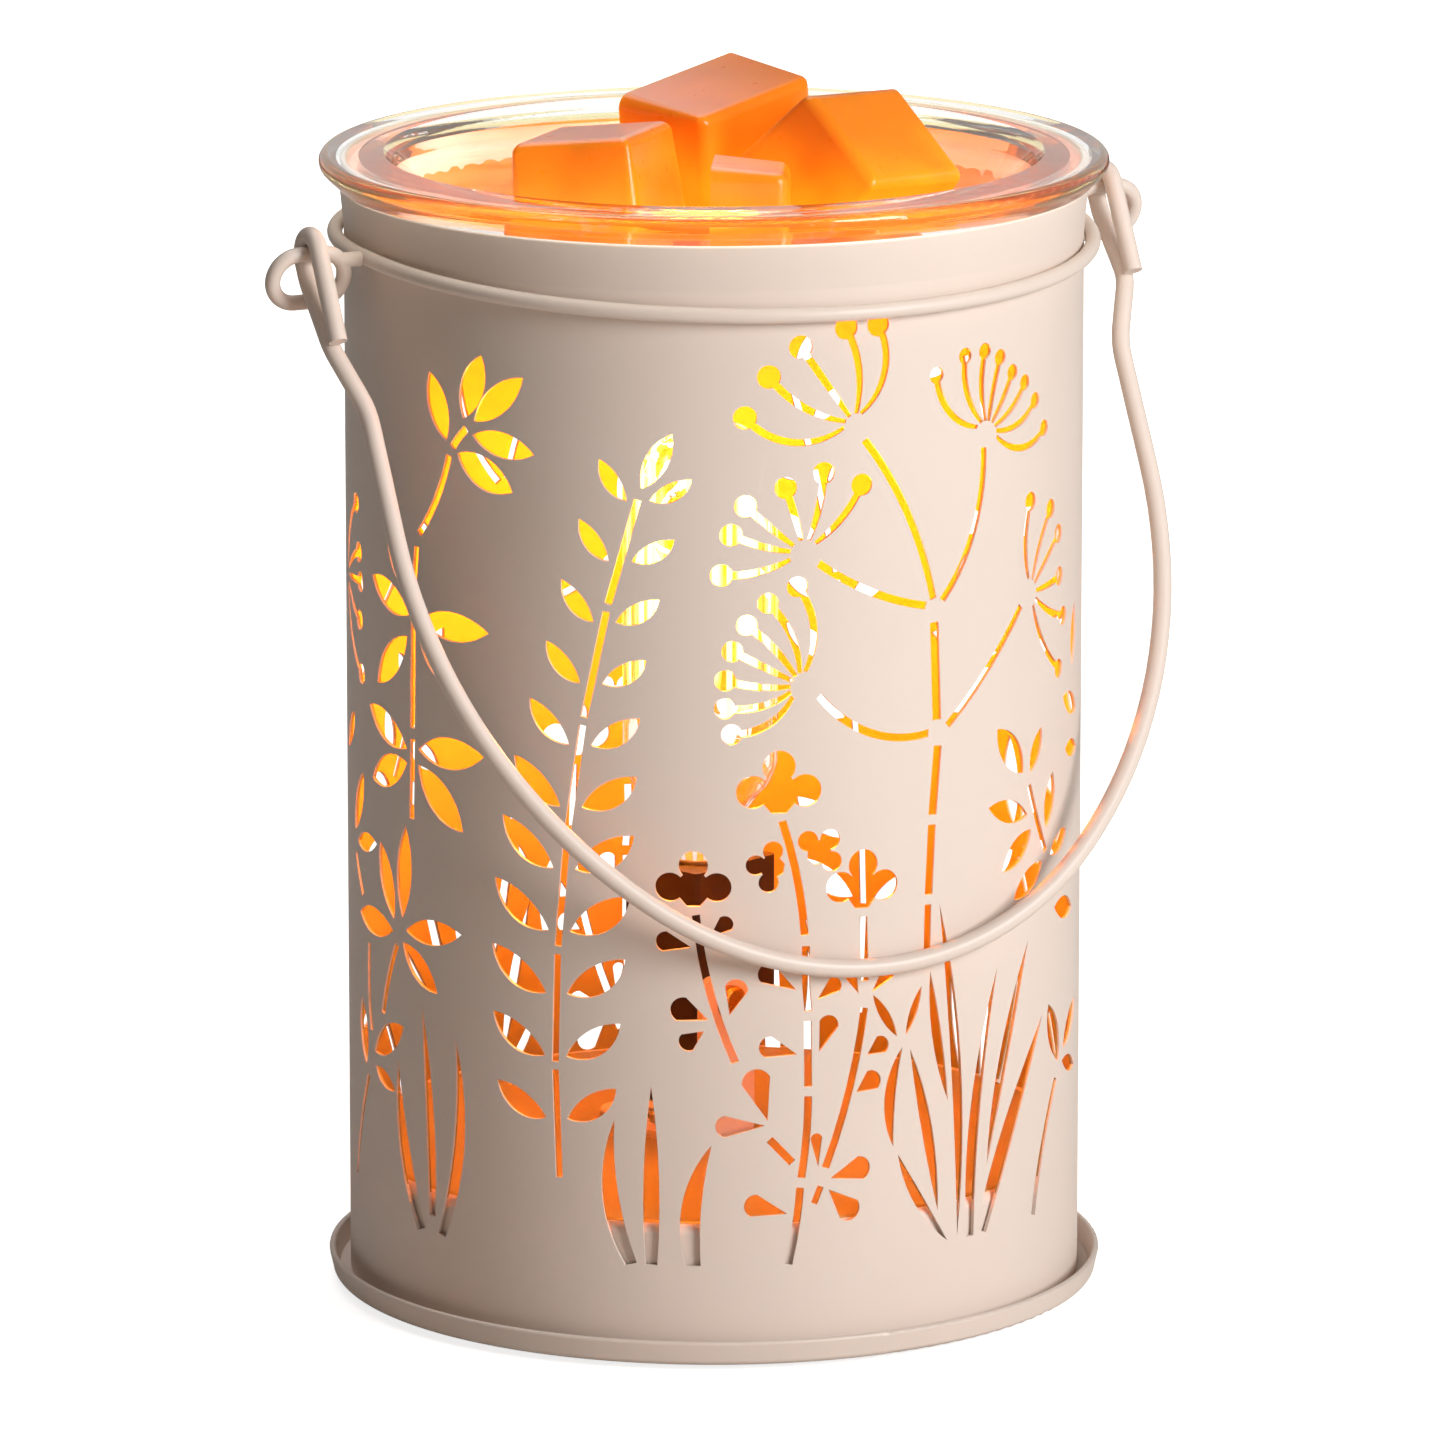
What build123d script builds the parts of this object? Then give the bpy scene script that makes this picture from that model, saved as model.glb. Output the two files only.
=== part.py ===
from build123d import *
import os
from math import asin, atan2, cos, degrees, hypot, pi, radians, sin, sqrt

# A table-top wax warmer: a pierced metal lantern with a lamp inside, a glass
# dish of wax on top and a wire bail handle. Millimetres. The origin is at the
# centre of the resting plane, +Z is up, the front is -Y and the ears of the
# handle lie on +X and -X.

# ---------------------------------------------------------------- sizes
touch = 0.05               # gap left between pieces that are pressed together

# feet and base pan
foot_radius = 5.0
foot_circle = 46.0         # radius of the circle the feet stand on
foot_count = 4
rim_clear = 1.0            # pan rim above the table
pan_wall = 0.8
pan_step = 1.2             # the pan's centre is drawn up by this much
pan_step_radius = 53.0
pan_gap = 1.7              # sleeve to the foot of the lip
lip_height = 4.1
lip_flare = 0.9
lip_edge = 1.0             # thickness of the hemmed lip

# body sleeve
sleeve_radius = 60.0
sleeve_wall = 0.6
sleeve_height = 180.9
foot_hem = 2.6             # width of the inward hem that the inner base clamps
top_flare = 0.7            # the top band opens by this much
flare_height = 7.5
top_hem = 1.5              # width of the rolled top edge
top_hem_height = 1.2

# inner base: an inverted pan that covers the wiring
inner_clear = 0.4          # to the inside of the sleeve
inner_wall = 0.8
inner_height = 21.2
inner_bend = 2.0

# fixings between base pan and inner base
standoff_radius = 3.0
standoff_circle = 44.0
standoff_count = 3
base_screw_shank = 1.45
base_screw_head = 2.8
base_screw_head_height = 1.6
base_screw_length = 7.0
screw_clear = 0.05

# neck ring and ears
ring_wire = 1.25           # wire radius
ring_clear = 0.2
ring_height = 174.6        # centre of the wire at the ears
ring_droop = 3.0           # degrees that the front half hangs below level
ear_width = 12.4           # between the centres of the loop's upright runs
ear_drop = 8.4             # between the centres of its level runs
ear_reach = 71.5           # axis of the lamp to the middle of an ear
ear_rise = 1.5             # top run above the ring wire
ear_tilt = 15.0            # degrees that the lower run leans to the back

# bail handle
bail_wire = 1.5            # wire radius
bail_spacing = 67.6        # half the distance between the legs
bail_drop = 127.0          # hinge axis to the wire at the middle of the bow
bail_leg = 48.0            # end of the straight legs, below the hinge axis
bow_radius = 58.0          # the tight arc in the middle of the bow
eye_radius = 3.3           # centre line of the eye's round top
eye_play = 0.15            # eye to the ear wire that it hangs on
eye_length = 16.0
leg_start = 27.0           # where the leg reaches its full spacing
bail_rest_clear = 0.3      # bow to the sleeve that it leans on

# glass dish
flange_radius = 64.0
flange_height = 4.9        # above the sleeve
flange_face = 53.5         # inner radius of the flat top
dish_mouth = 52.2
dish_depth = 16.0
dish_floor_radius = 45.0
glass_wall = 3.0
seat_overhang = 0.5        # step of the dish beyond the sleeve's edge
dish_locate = 1.6          # the bowl clears the sleeve's inner edge by this much

# wax
pool_depth = 3.0
wax_length = 29.0
wax_width = 22.5
wax_height = 17.5
wax_draft = 5.0            # degrees
wax_round = 2.4

# lamp and holder
lamp_setback = 3.0         # lamp behind the lantern's axis, seen from its bracket
holder_turn = 23.0         # degrees that the bracket faces away from the front
holder_width = 20.0
holder_depth = 16.0
holder_bottom = 40.0
holder_top = 69.6
holder_neck_width = 14.0
holder_neck_depth = 11.0
holder_neck_height = 7.0
bore_bottom = 50.5
shell_radius = 6.8
shell_wall = 0.5
shell_length = 15.0
cap_radius = 6.1
cap_wall = 0.35
cap_length = 16.0
cap_play = 0.15
lamp_radius = 12.7
lamp_top = 142.6
lamp_shoulder = 84.0
lamp_neck = 5.6
glass_thin = 0.7
stem_height = 20.0
press_gap = 1.1            # the two leads from the middle of the stem
press_depth = 6.0          # the leads run this far into the stem
filament_radius = 9.6
filament_runs = 8
filament_low = 95.0
filament_high = 137.0
filament_wire = 0.4
lead_wire = 0.45

# bracket
bracket_width = 13.0
bracket_shift = -3.5       # across the lampholder's face
bracket_wall = 1.2
bracket_height = 28.4
bracket_foot = 17.0
bracket_screw_height = 23.6
fixing_hole = 1.6
fixing_shank = 1.45
fixing_head = 2.8
fixing_head_height = 1.8
bracket_screw_length = 6.5
foot_screw_length = 6.0
nut_flats = 5.5
nut_height = 2.4

# wiring compartment
block_length = 20.0
block_width = 9.0
block_height = 8.5
block_setback = 24.0       # terminal block behind the axis
block_screw = 1.4
insulation = 0.9           # radius of an internal lead
lead_gap = 2.4             # each lead from the middle of the lampholder
lead_pair = 1.0            # each lead from the middle of the bushing
bushing_hole = 4.0
bushing_flange = 5.2
bushing_edge = 1.0
inlet_height = 12.5
inlet_hole = 4.0
inlet_flange = 5.6
inlet_edge = 1.4
inlet_bore = 3.1

# meadow of cut-outs
meadow_turn = -26.0        # degrees from the front to the middle of the panel
panel_count = 2
stem_cut = 1.3
cut_from = 6.5             # the cutters start this far inside the wall
cut_depth = 8.0

# ---------------------------------------------------------------- levels
pan_floor = rim_clear + pan_wall
pan_centre = pan_floor + pan_step
sleeve_top = pan_floor + sleeve_height
hem_top = pan_floor + sleeve_wall
inner_top = hem_top + inner_height
inner_under = inner_top - inner_wall
inner_radius = sleeve_radius - sleeve_wall - inner_clear
ring_radius = sleeve_radius + ring_clear + ring_wire
hinge_height = ring_height + ear_rise
top_radius = sleeve_radius + top_flare
dish_top = sleeve_top + flange_height
bowl_floor = dish_top - dish_depth
pool_top = bowl_floor + pool_depth
cap_bottom = holder_top - cap_length + 1.0
bracket_top = inner_top + bracket_height
swing = degrees(asin((sleeve_radius + bail_wire + bail_rest_clear) / bail_drop))
lamp_place = Rot(Z=holder_turn) * Pos(0, lamp_setback, 0)


# ---------------------------------------------------------------- helpers
def near(shape, point):
    """The vertex of a flat outline that lies nearest to a point."""
    return shape.vertices().sort_by_distance(Vector(*point))[0]


def turned(points, rounds=()):
    """Revolve a closed outline of (radius, height) points; rounds gives (point, radius)."""
    outline = make_face(Polyline(*points, close=True))
    for point, radius in rounds:
        outline = fillet(near(outline, point), radius)
    return revolve(Plane.XZ * outline, Axis.Z)


def tube(outer, inner, low, high):
    return Pos(0, 0, low) * extrude(Circle(outer) - Circle(inner), high - low)


def rod(radius, low, high):
    return Pos(0, 0, low) * extrude(Circle(radius), high - low)


def wire_along(path, radius, corners=Transition.TRANSFORMED):
    section = Plane(path @ 0, z_dir=path % 0) * Circle(radius)
    return sweep(section, path=path, transition=corners)


def around(count, shape, start=0.0):
    """Copies of a shape, evenly spaced about the lamp's axis."""
    return [Rot(Z=start + 360.0 / count * i) * shape for i in range(count)]


def screw(shank, head, head_height, length):
    """Pan-head screw; the underside of its head is at the origin, the shank goes down."""
    cap = rod(head, 0, head_height)
    cap = fillet(cap.edges().sort_by(Axis.Z)[-1], head_height * 0.45)
    return cap + rod(shank, -length, 0)


# ---------------------------------------------------------------- meadow
# The plants are drawn flat: x runs round the sleeve, z is the height. Each
# cut-out is then stood on its own tangent plane and pushed through the wall.
def side_of(a, b, half):
    """Offset across the direction from a to b."""
    length = hypot(b[0] - a[0], b[1] - a[1])
    return (-(b[1] - a[1]) / length * half, (b[0] - a[0]) / length * half)


def shifted(point, offset, sign=1):
    return (point[0] + sign * offset[0], point[1] + sign * offset[1])


def polar(centre, angle, length):
    return (centre[0] + length * cos(radians(angle)), centre[1] + length * sin(radians(angle)))


def bowed(start, end, bow):
    """Point beside the middle of a line, off it by a share of its length."""
    middle = ((start[0] + end[0]) / 2, (start[1] + end[1]) / 2)
    length = hypot(end[0] - start[0], end[1] - start[1])
    return shifted(middle, side_of(start, end, length * bow))


def edge_through(a, b, c):
    """Arc through three points, or a line where they are straight."""
    bend = (b[0] - a[0]) * (c[1] - a[1]) - (b[1] - a[1]) * (c[0] - a[0])
    if abs(bend) < 0.02 * hypot(c[0] - a[0], c[1] - a[1]):
        return Line(a, c)
    return ThreePointArc(a, b, c)


def strip(start, end, bow, widths):
    """Bowed strip; a width of 0 makes a pointed end."""
    w_start, w_middle, w_end = widths
    middle = bowed(start, end, bow)
    first = side_of(start, middle, w_start / 2)
    across = side_of(start, end, w_middle / 2)
    last = side_of(middle, end, w_end / 2)
    left = [shifted(start, first), shifted(middle, across), shifted(end, last)]
    right = [shifted(start, first, -1), shifted(middle, across, -1), shifted(end, last, -1)]
    edges = [edge_through(*left), edge_through(*reversed(right))]
    if w_end > 0:
        edges.append(Line(left[2], right[2]))
    if w_start > 0:
        edges.append(Line(right[0], left[0]))
    return make_face(edges)


def stem(start, end, bow=0.0, width=stem_cut):
    return strip(start, end, bow, (width, width, width))


def blade(foot, tip, bow, width):
    """Grass blade, pointed at the tip."""
    return strip(foot, tip, bow, (width * 0.75, width, 0))


def sliver(start, end, bow, width):
    return strip(start, end, bow, (0, width, 0))


def leaf(base, angle, length, width, bow=0.0):
    """Pointed leaf that starts at its base."""
    return strip(base, polar(base, angle, length), bow, (0, width, 0))


def petal(base, angle, length, width):
    """Round-ended leaf with a pointed base."""
    centre = polar(base, angle, length - width / 2)
    left, right = polar(centre, angle + 80, width / 2), polar(centre, angle - 80, width / 2)
    return make_face([Line(base, right), ThreePointArc(right, polar(base, angle, length), left), Line(left, base)])


def fern(points, first, last, pairs):
    """Frond: a pair of leaves at even heights of a curved stem, and one at its tip."""
    spine = Spline(*points)
    cuts = []
    for i in range(pairs):
        share = i / (pairs - 1)
        x, z = tuple(spine @ (first + (last - first) * share))[:2]
        length = 10.6 + 2.8 * sin(pi * min(1.0, share * 1.5)) - 2.6 * share
        cuts.append(leaf((x - 1.8, z - 0.4), 151 - 27 * share, length, length * 0.36, 0.05))
        cuts.append(leaf((x + 1.9, z - 0.2), 34 - 6 * share, length * 0.95, length * 0.37, -0.05))
    cuts.append(leaf(tuple(spine @ 1)[:2], 61, 10.3, 3.8))
    steps = 6
    for i in range(steps):
        low, high = (i + 0.035) / steps, (i + 0.965) / steps
        ends = [tuple(spine @ share)[:2] for share in (low * 0.99, high * 0.99)]
        cuts.append(stem(*ends, 0.0, 1.2))
    return cuts


def leaves(*each):
    """Pointed leaves, each (base x, base z, angle, length, width)."""
    return [leaf((x, z), angle, length, width) for x, z, angle, length, width in each]


def petals(*each):
    """Round-ended leaves, each (base x, base z, angle, length, width)."""
    return [petal((x, z), angle, length, width) for x, z, angle, length, width in each]


def umbel(centre, head, bow, *ends):
    """Rays from a centre to round heads; the first and last rays bow out most."""
    rays = []
    for i, end in enumerate(ends):
        share = i / (len(ends) - 1)
        angle = degrees(atan2(end[1] - centre[1], end[0] - centre[0]))
        start = polar(centre, angle, 2.0 + len(ends) * 0.09)
        ray = strip(start, end, bow * (1 - 2 * share), (0.7, 1.2, 1.2))
        rays.append(ray + Pos(*end) * Circle(head))
    return rays


def blossom(base, angle, size, spread=50):
    """Three round lobes, fused above a narrow foot."""
    left, right = polar(base, angle + spread, size * 0.54), polar(base, angle - spread, size * 0.54)
    foot_left, foot_right = polar(base, angle + 90, size * 0.12), polar(base, angle - 90, size * 0.12)
    middle = polar(base, angle, size * 0.74)
    flower = make_face(Polyline(foot_left, left, middle, right, foot_right, close=True))
    for centre in (left, middle, right):
        flower += Pos(*centre) * Circle(size * 0.26)
    return flower


def left_sprays():
    cuts = leaves((-47.4, 147.9, 110, 11.4, 4.6), (-43.6, 152.0, 70, 11.4, 4.8), (-41.3, 151.8, 40, 12.6, 4.4),
                  (-41.6, 149.6, -9, 12.0, 4.2), (-44.9, 146.2, -24, 12.2, 5.2))
    cuts += [stem((-42.9, 150.5), (-46.0, 147.0), -0.03), stem((-46.8, 145.6), (-54.2, 131.8), 0.06)]
    cuts.append(stem((-54.9, 129.6), (-55.8, 122.0)))
    cuts += leaves((-57.4, 121.4, 121, 12.2, 4.6), (-57.2, 118.0, 161, 13.2, 4.8), (-57.7, 114.4, 223, 13.8, 5.0),
                   (-54.1, 117.8, 0, 15.6, 4.8), (-54.4, 115.0, -37, 12.0, 4.4))
    cuts += [stem((-55.9, 120.4), (-56.3, 99.6)), stem((-56.3, 97.8), (-56.7, 84.6))]
    cuts += leaves((-58.0, 95.9, 160, 14.0, 4.8), (-58.0, 93.6, 202, 13.0, 5.2), (-54.7, 96.4, 4, 15.2, 5.2),
                   (-54.8, 93.8, -41, 14.2, 5.4))
    cuts += leaves((-62.3, 66.9, 112, 13.0, 4.4), (-59.6, 67.6, 86, 15.6, 4.4), (-62.6, 64.8, 179, 14.4, 4.6),
                   (-58.6, 65.8, 7, 14.2, 4.2), (-59.6, 63.6, -36, 11.6, 4.2))
    cuts.append(stem((-61.4, 62.8), (-66.4, 50.4), -0.03))
    cuts += leaves((-69.9, 43.2, 31, 12.2, 4.6), (-69.6, 40.8, -20, 7.8, 2.6), (-73.9, 40.2, 103, 11.0, 4.2),
                   (-78.4, 76.6, 8, 10.0, 3.2), (-80.0, 78.0, 63, 12.0, 4.2), (-86.6, 90.6, 46, 9.6, 3.6))
    cuts += [stem((-79.4, 74.4), (-75.2, 68.2), -0.03), stem((-72.0, 60.8), (-71.2, 46.4), -0.05)]
    cuts.append(stem((-72.7, 38.6), (-80.2, 20.0), -0.03))
    return cuts


def left_umbel():
    return umbel((-86.6, 119.4), 1.7, 0.12, (-78.1, 132.5), (-76.6, 124.7), (-75.7, 120.0), (-76.3, 113.6), (-75.3, 104.9))


def umbel_plant():
    cuts = umbel((23.3, 152.5), 1.9, 0.19, (4.9, 155.0), (8.7, 161.5), (13.8, 166.1), (21.3, 168.8), (26.8, 168.9))
    cuts += umbel((48.2, 148.3), 1.35, 0.18, (37.7, 159.7), (43.6, 162.1), (48.0, 162.3), (51.7, 160.8),
                  (54.9, 157.9), (58.4, 155.7), (61.6, 152.3), (64.7, 147.3))
    cuts += umbel((14.6, 132.6), 1.8, 0.07, (1.2, 129.7), (2.7, 136.2), (5.0, 140.8), (11.4, 143.6), (17.6, 145.7), (24.0, 143.4))
    cuts += umbel((14.8, 111.2), 1.7, 0.15, (2.8, 104.0), (1.7, 108.2), (1.8, 112.7), (2.9, 117.4),
                  (5.2, 121.6), (8.6, 125.1), (13.3, 127.6))
    cuts += umbel((59.8, 120.9), 1.6, 0.1, (60.4, 136.0), (67.4, 133.6), (70.7, 128.9), (71.2, 121.8), (73.2, 114.9), (71.2, 106.6))
    cuts += [stem((37.2, 123.6), (24.5, 150.6), -0.055), stem((39.0, 123.2), (47.8, 146.8), -0.1)]
    cuts += [stem((35.7, 122.7), (16.8, 131.2), 0.055), stem((36.3, 101.9), (16.9, 109.8), 0.14)]
    cuts += [stem((40.2, 102.6), (57.6, 119.4), -0.015), stem((37.4, 119.8), (38.0, 103.8), 0.0, 1.7)]
    cuts += [stem((38.2, 99.6), (37.2, 88.4), 0.0, 1.6), stem((37.1, 86.8), (36.5, 75.4), 0.0, 1.5), stem((36.4, 73.8), (36.2, 65.0))]
    return cuts


def clover():
    cuts = [blossom((10.4, 91.0), 90, 10.2), blossom((-3.3, 76.0), 90, 9.0), blossom((24.2, 74.6), 88, 9.6, 46)]
    cuts += [blossom((11.2, 82.0), 172, 6.2), blossom((15.6, 82.8), 48, 6.4)]
    cuts += [stem((10.9, 89.7), (14.6, 70.9), 0.03), stem((14.8, 69.1), (15.2, 58.4), -0.02)]
    cuts += [stem((15.1, 56.8), (15.2, 46.0)), stem((15.2, 44.4), (14.1, 31.0), 0.02), stem((13.9, 29.4), (12.0, 16.8), 0.02)]
    cuts += [stem((-2.9, 74.6), (3.4, 50.4), -0.04), stem((8.9, 37.6), (12.6, 33.6))]
    cuts += [stem((24.5, 73.2), (24.8, 62.6)), stem((24.7, 58.2), (18.1, 32.4), 0.03), stem((17.3, 29.4), (16.2, 26.6), 0.0, 1.1)]
    cuts += petals((-3.6, 69.3, 168, 5.8, 3.4), (-0.7, 70.9, 42, 4.6, 2.8), (-0.9, 57.4, 158, 6.4, 4.2),
                   (-1.6, 55.6, 215, 4.6, 3.2), (2.5, 58.2, 76, 6.0, 3.8))
    cuts += petals((8.6, 40.7, 106, 8.8, 4.8), (8.2, 39.9, 180, 8.0, 3.6), (13.2, 62.0, 148, 7.0, 3.6),
                   (16.7, 60.2, 38, 4.8, 2.8), (13.4, 51.4, 163, 6.4, 3.6), (17.0, 51.6, 70, 6.2, 3.4))
    cuts += petals((23.7, 60.6, 112, 4.8, 2.4), (26.0, 60.6, 46, 5.2, 2.6), (25.2, 50.4, 30, 4.2, 3.2),
                   (23.3, 44.4, 32, 4.8, 3.6), (16.9, 32.6, 94, 5.6, 2.0), (18.9, 30.6, 14, 7.0, 4.0))
    cuts += petals((11.8, 25.2, 164, 7.2, 3.8), (18.6, 28.8, -46, 6.8, 4.2))
    return cuts


def grasses():
    cuts = [blade((-54.6, 16.8), (-61.2, 43.9), 0.06, 3.0), blade((-51.7, 19.6), (-54.2, 54.4), -0.02, 2.0)]
    cuts += [blade((-49.4, 16.8), (-46.0, 50.3), -0.075, 2.4), blade((-13.4, 16.8), (-16.1, 40.5), 0.09, 2.7)]
    cuts += [blade((-10.1, 16.8), (-10.1, 46.4), 0.0, 2.6), blade((-3.3, 16.8), (-0.4, 36.8), 0.085, 3.1)]
    cuts += [sliver((30.0, 34.6), (31.6, 51.0), 0.09, 2.0), sliver((40.6, 17.6), (30.8, 33.4), 0.05, 1.9)]
    cuts += [sliver((38.6, 22.8), (33.0, 50.6), -0.02, 2.1), sliver((42.7, 18.0), (38.7, 73.6), -0.03, 2.1)]
    cuts += [sliver((40.6, 40.8), (36.9, 62.8), 0.02, 1.9), blade((45.5, 17.4), (51.8, 61.0), 0.043, 2.2)]
    cuts += [sliver((49.4, 28.6), (60.4, 63.8), 0.03, 2.3), blade((48.2, 17.8), (65.4, 50.4), 0.035, 3.3)]
    cuts += [sliver((30.6, 52.8), (26.2, 60.2), 0.0, 1.7), sliver((32.2, 52.8), (35.2, 60.6), 0.0, 1.4)]
    return cuts


def right_sprig():
    cuts = leaves((58.6, 91.8, 130, 11.0, 4.8), (60.8, 91.4, 62, 7.8, 3.0), (60.0, 84.6, 164, 11.0, 3.8),
                  (66.4, 81.0, 74, 9.4, 3.8), (61.2, 82.0, 214, 10.0, 4.0), (65.0, 76.0, 208, 10.0, 3.8),
                  (68.0, 76.4, 20, 8.0, 3.2), (70.0, 67.2, -12, 9.8, 3.8))
    cuts += [stem((60.4, 89.4), (66.2, 77.4), -0.02), stem((71.0, 38.4), (62.6, 17.4), -0.05)]
    cuts += leaves((72.2, 41.0, 113, 11.4, 4.4), (74.6, 42.6, 40, 10.6, 3.6), (74.2, 40.6, -18, 8.4, 2.8),
                   (82.0, 97.8, 157, 9.2, 3.6), (78.6, 105.4, 82, 10.6, 3.2), (82.4, 91.4, 172, 7.6, 3.0))
    return cuts


def cutter(drawing):
    """Stand one flat cut-out on the sleeve and push it through the wall."""
    middle = drawing.center()
    turn = radians(meadow_turn) + middle.X / sleeve_radius
    outward = Vector(sin(turn), -cos(turn), 0)
    inside = outward * (sleeve_radius - cut_from) + Vector(0, 0, middle.Y)
    plane = Plane(inside, x_dir=Vector(cos(turn), sin(turn), 0), z_dir=outward)
    placed = plane * Pos(-middle.X, -middle.Y) * drawing
    return extrude(placed, amount=cut_depth, dir=outward)


def meadow():
    """All cutters of one panel."""
    frond = [(-25.5, 29.5), (-26.1, 58.0), (-22.9, 95.0), (-11.6, 143.4)]
    drawings = fern(frond, 0.0925, 0.985, 11)
    for plant in (left_sprays, left_umbel, umbel_plant, clover, grasses, right_sprig):
        drawings += plant()
    return [cutter(drawing) for drawing in drawings]


# ---------------------------------------------------------------- body
def make_sleeve():
    inner = sleeve_radius - sleeve_wall
    bend = sleeve_top - flare_height
    lip = top_radius - top_hem
    points = [
        (inner - foot_hem, pan_floor), (sleeve_radius, pan_floor), (sleeve_radius, bend),
        (top_radius, sleeve_top), (lip, sleeve_top), (lip, sleeve_top - top_hem_height),
        (top_radius - sleeve_wall, sleeve_top - top_hem_height), (inner, bend),
        (inner, hem_top), (inner - foot_hem, hem_top),
    ]
    rolled = top_hem_height * 0.45
    body = turned(points, (((top_radius, sleeve_top), rolled), ((lip, sleeve_top), rolled)))
    body = Rot(Z=meadow_turn) * body
    cutters = []
    for panel in meadow():
        for cut in panel.solids():
            cutters += around(panel_count, cut)
    body = body - cutters
    inlet = Pos(0, sleeve_radius, inlet_height) * Rot(X=90) * Cylinder(inlet_hole, cut_depth)
    return body - inlet


def make_neck_ring():
    front = wire_along(CenterArc((0, 0, 0), ring_radius, 180, 180), ring_wire)
    back = wire_along(CenterArc((0, 0, 0), ring_radius, 0, 180), ring_wire)
    ring = Rot(X=ring_droop) * front + back
    for side in (-1, 1):
        ring += Pos(side * ring_radius, 0, 0) * Sphere(ring_wire)
    return Pos(0, 0, ring_height) * ring


def make_ear(side):
    """Closed wire loop with a neck to the ring; its top run lies on the hinge axis."""
    outline = Plane.XZ * Pos(ear_reach, -ear_drop / 2) * SlotOverall(ear_width, ear_drop)
    loop = wire_along(outline.face().outer_wire(), ring_wire)
    ear = Rot(X=ear_tilt) * loop
    neck_start = ring_radius + ring_wire + touch
    neck_end = ear_reach - ear_width / 2 + ring_wire
    neck = Pos(neck_start, 0, 0) * Rot(Y=90) * rod(ring_wire, 0, neck_end - neck_start)
    ear += Pos(0, ear_rise * sin(radians(ear_tilt)), -ear_rise) * neck
    return Pos(0, 0, hinge_height) * Rot(Z=0 if side > 0 else 180) * (ear if side > 0 else mirror(ear, Plane.XZ))


def bail_side():
    """Path of one eye and leg, from the cut end of the eye to the end of the leg."""
    top = eye_play + ring_wire + bail_wire
    points = [
        (ear_reach, -2 * bail_wire - touch, -eye_length), (ear_reach, -eye_radius, top),
        (ear_reach, eye_radius, top), (ear_reach, eye_radius, -eye_length * 0.22),
        (ear_reach, 0, -eye_length), (bail_spacing, 0, -leg_start), (bail_spacing, 0, -bail_leg),
    ]
    corner = eye_radius - 0.02
    return FilletPolyline(*points, radius=[corner, corner, 7.0, 9.0, 16.0])


def make_bail():
    """Legs, two side arcs and a tight middle arc, all tangent to each other."""
    leg = bail_side()
    depth = bail_drop - bow_radius - bail_leg
    side_radius = (bail_spacing**2 + depth**2 - bow_radius**2) / (2 * (bail_spacing - bow_radius))
    meet = degrees(atan2(depth, side_radius - bail_spacing))
    side = CenterArc((bail_spacing - side_radius, -bail_leg), side_radius, 0, -meet)
    middle = CenterArc((0, bow_radius - bail_drop), bow_radius, -meet, 2 * meet - 180)
    half = leg.edges() + (Plane.XZ * side).edges()
    bow = (Plane.XZ * middle).edges()
    path = Wire(half + bow + mirror(Wire(half), Plane.YZ).edges())
    handle = wire_along(path, bail_wire)
    return Pos(0, 0, hinge_height) * Rot(X=-swing) * handle


# ---------------------------------------------------------------- base
def make_base_pan():
    foot = sleeve_radius + pan_gap
    top = rim_clear + lip_height
    slope = pan_step_radius + pan_step
    points = [
        (0, pan_centre - pan_wall), (pan_step_radius, pan_centre - pan_wall), (slope, rim_clear),
        (foot + 1.0, rim_clear), (foot + lip_edge + lip_flare, top), (foot + lip_flare, top),
        (foot, pan_floor), (slope, pan_floor), (pan_step_radius, pan_centre), (0, pan_centre),
    ]
    rounds = (((foot + 1.0, rim_clear), 1.2), (points[4], lip_edge * 0.45), (points[5], lip_edge * 0.45))
    pan = turned(points, rounds)
    hole = rod(base_screw_shank + screw_clear, 0, pan_centre + 1)
    return pan - around(standoff_count, Pos(0, standoff_circle, 0) * hole)


def make_inner_base():
    points = [
        (inner_radius - inner_wall, hem_top), (inner_radius, hem_top), (inner_radius, inner_top),
        (0, inner_top), (0, inner_under), (inner_radius - inner_wall, inner_under),
    ]
    rounds = ((points[2], inner_bend), (points[5], inner_bend - inner_wall))
    base = turned(points, rounds)
    cuts = [lamp_place * Pos(bracket_shift, y, 0) * rod(fixing_hole, inner_under - 1, inner_top + 1)
            for y in foot_screw_places]
    cuts.append(lamp_place * Pos(0, bushing_place, 0) * rod(bushing_hole, inner_under - 1, inner_top + 1))
    cuts.append(Pos(0, inner_radius, inlet_height) * Rot(X=90) * Cylinder(inlet_hole, cut_depth))
    return base - cuts


def make_standoffs():
    bore = base_screw_shank + screw_clear
    post = rod(standoff_radius, pan_centre, inner_under)
    post -= rod(bore, pan_centre, pan_centre + base_screw_length)
    return around(standoff_count, Pos(0, standoff_circle, 0) * post)


def make_base_screws():
    one = Rot(X=180) * screw(base_screw_shank, base_screw_head, base_screw_head_height, base_screw_length)
    return around(standoff_count, Pos(0, standoff_circle, pan_centre - pan_wall) * one)


def make_feet():
    foot = rod(foot_radius, 0, pan_centre - pan_wall)
    foot = chamfer(foot.edges().sort_by(Axis.Z)[0], 0.4)
    return around(foot_count, Pos(foot_circle, 0, 0) * foot, 45)


# ---------------------------------------------------------------- holder and bracket
bracket_face = -holder_depth / 2 - touch
foot_screw_places = (bracket_face + 5.0, bracket_face + 12.5)
bushing_place = holder_depth / 2 + bushing_flange + 2.0


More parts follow.
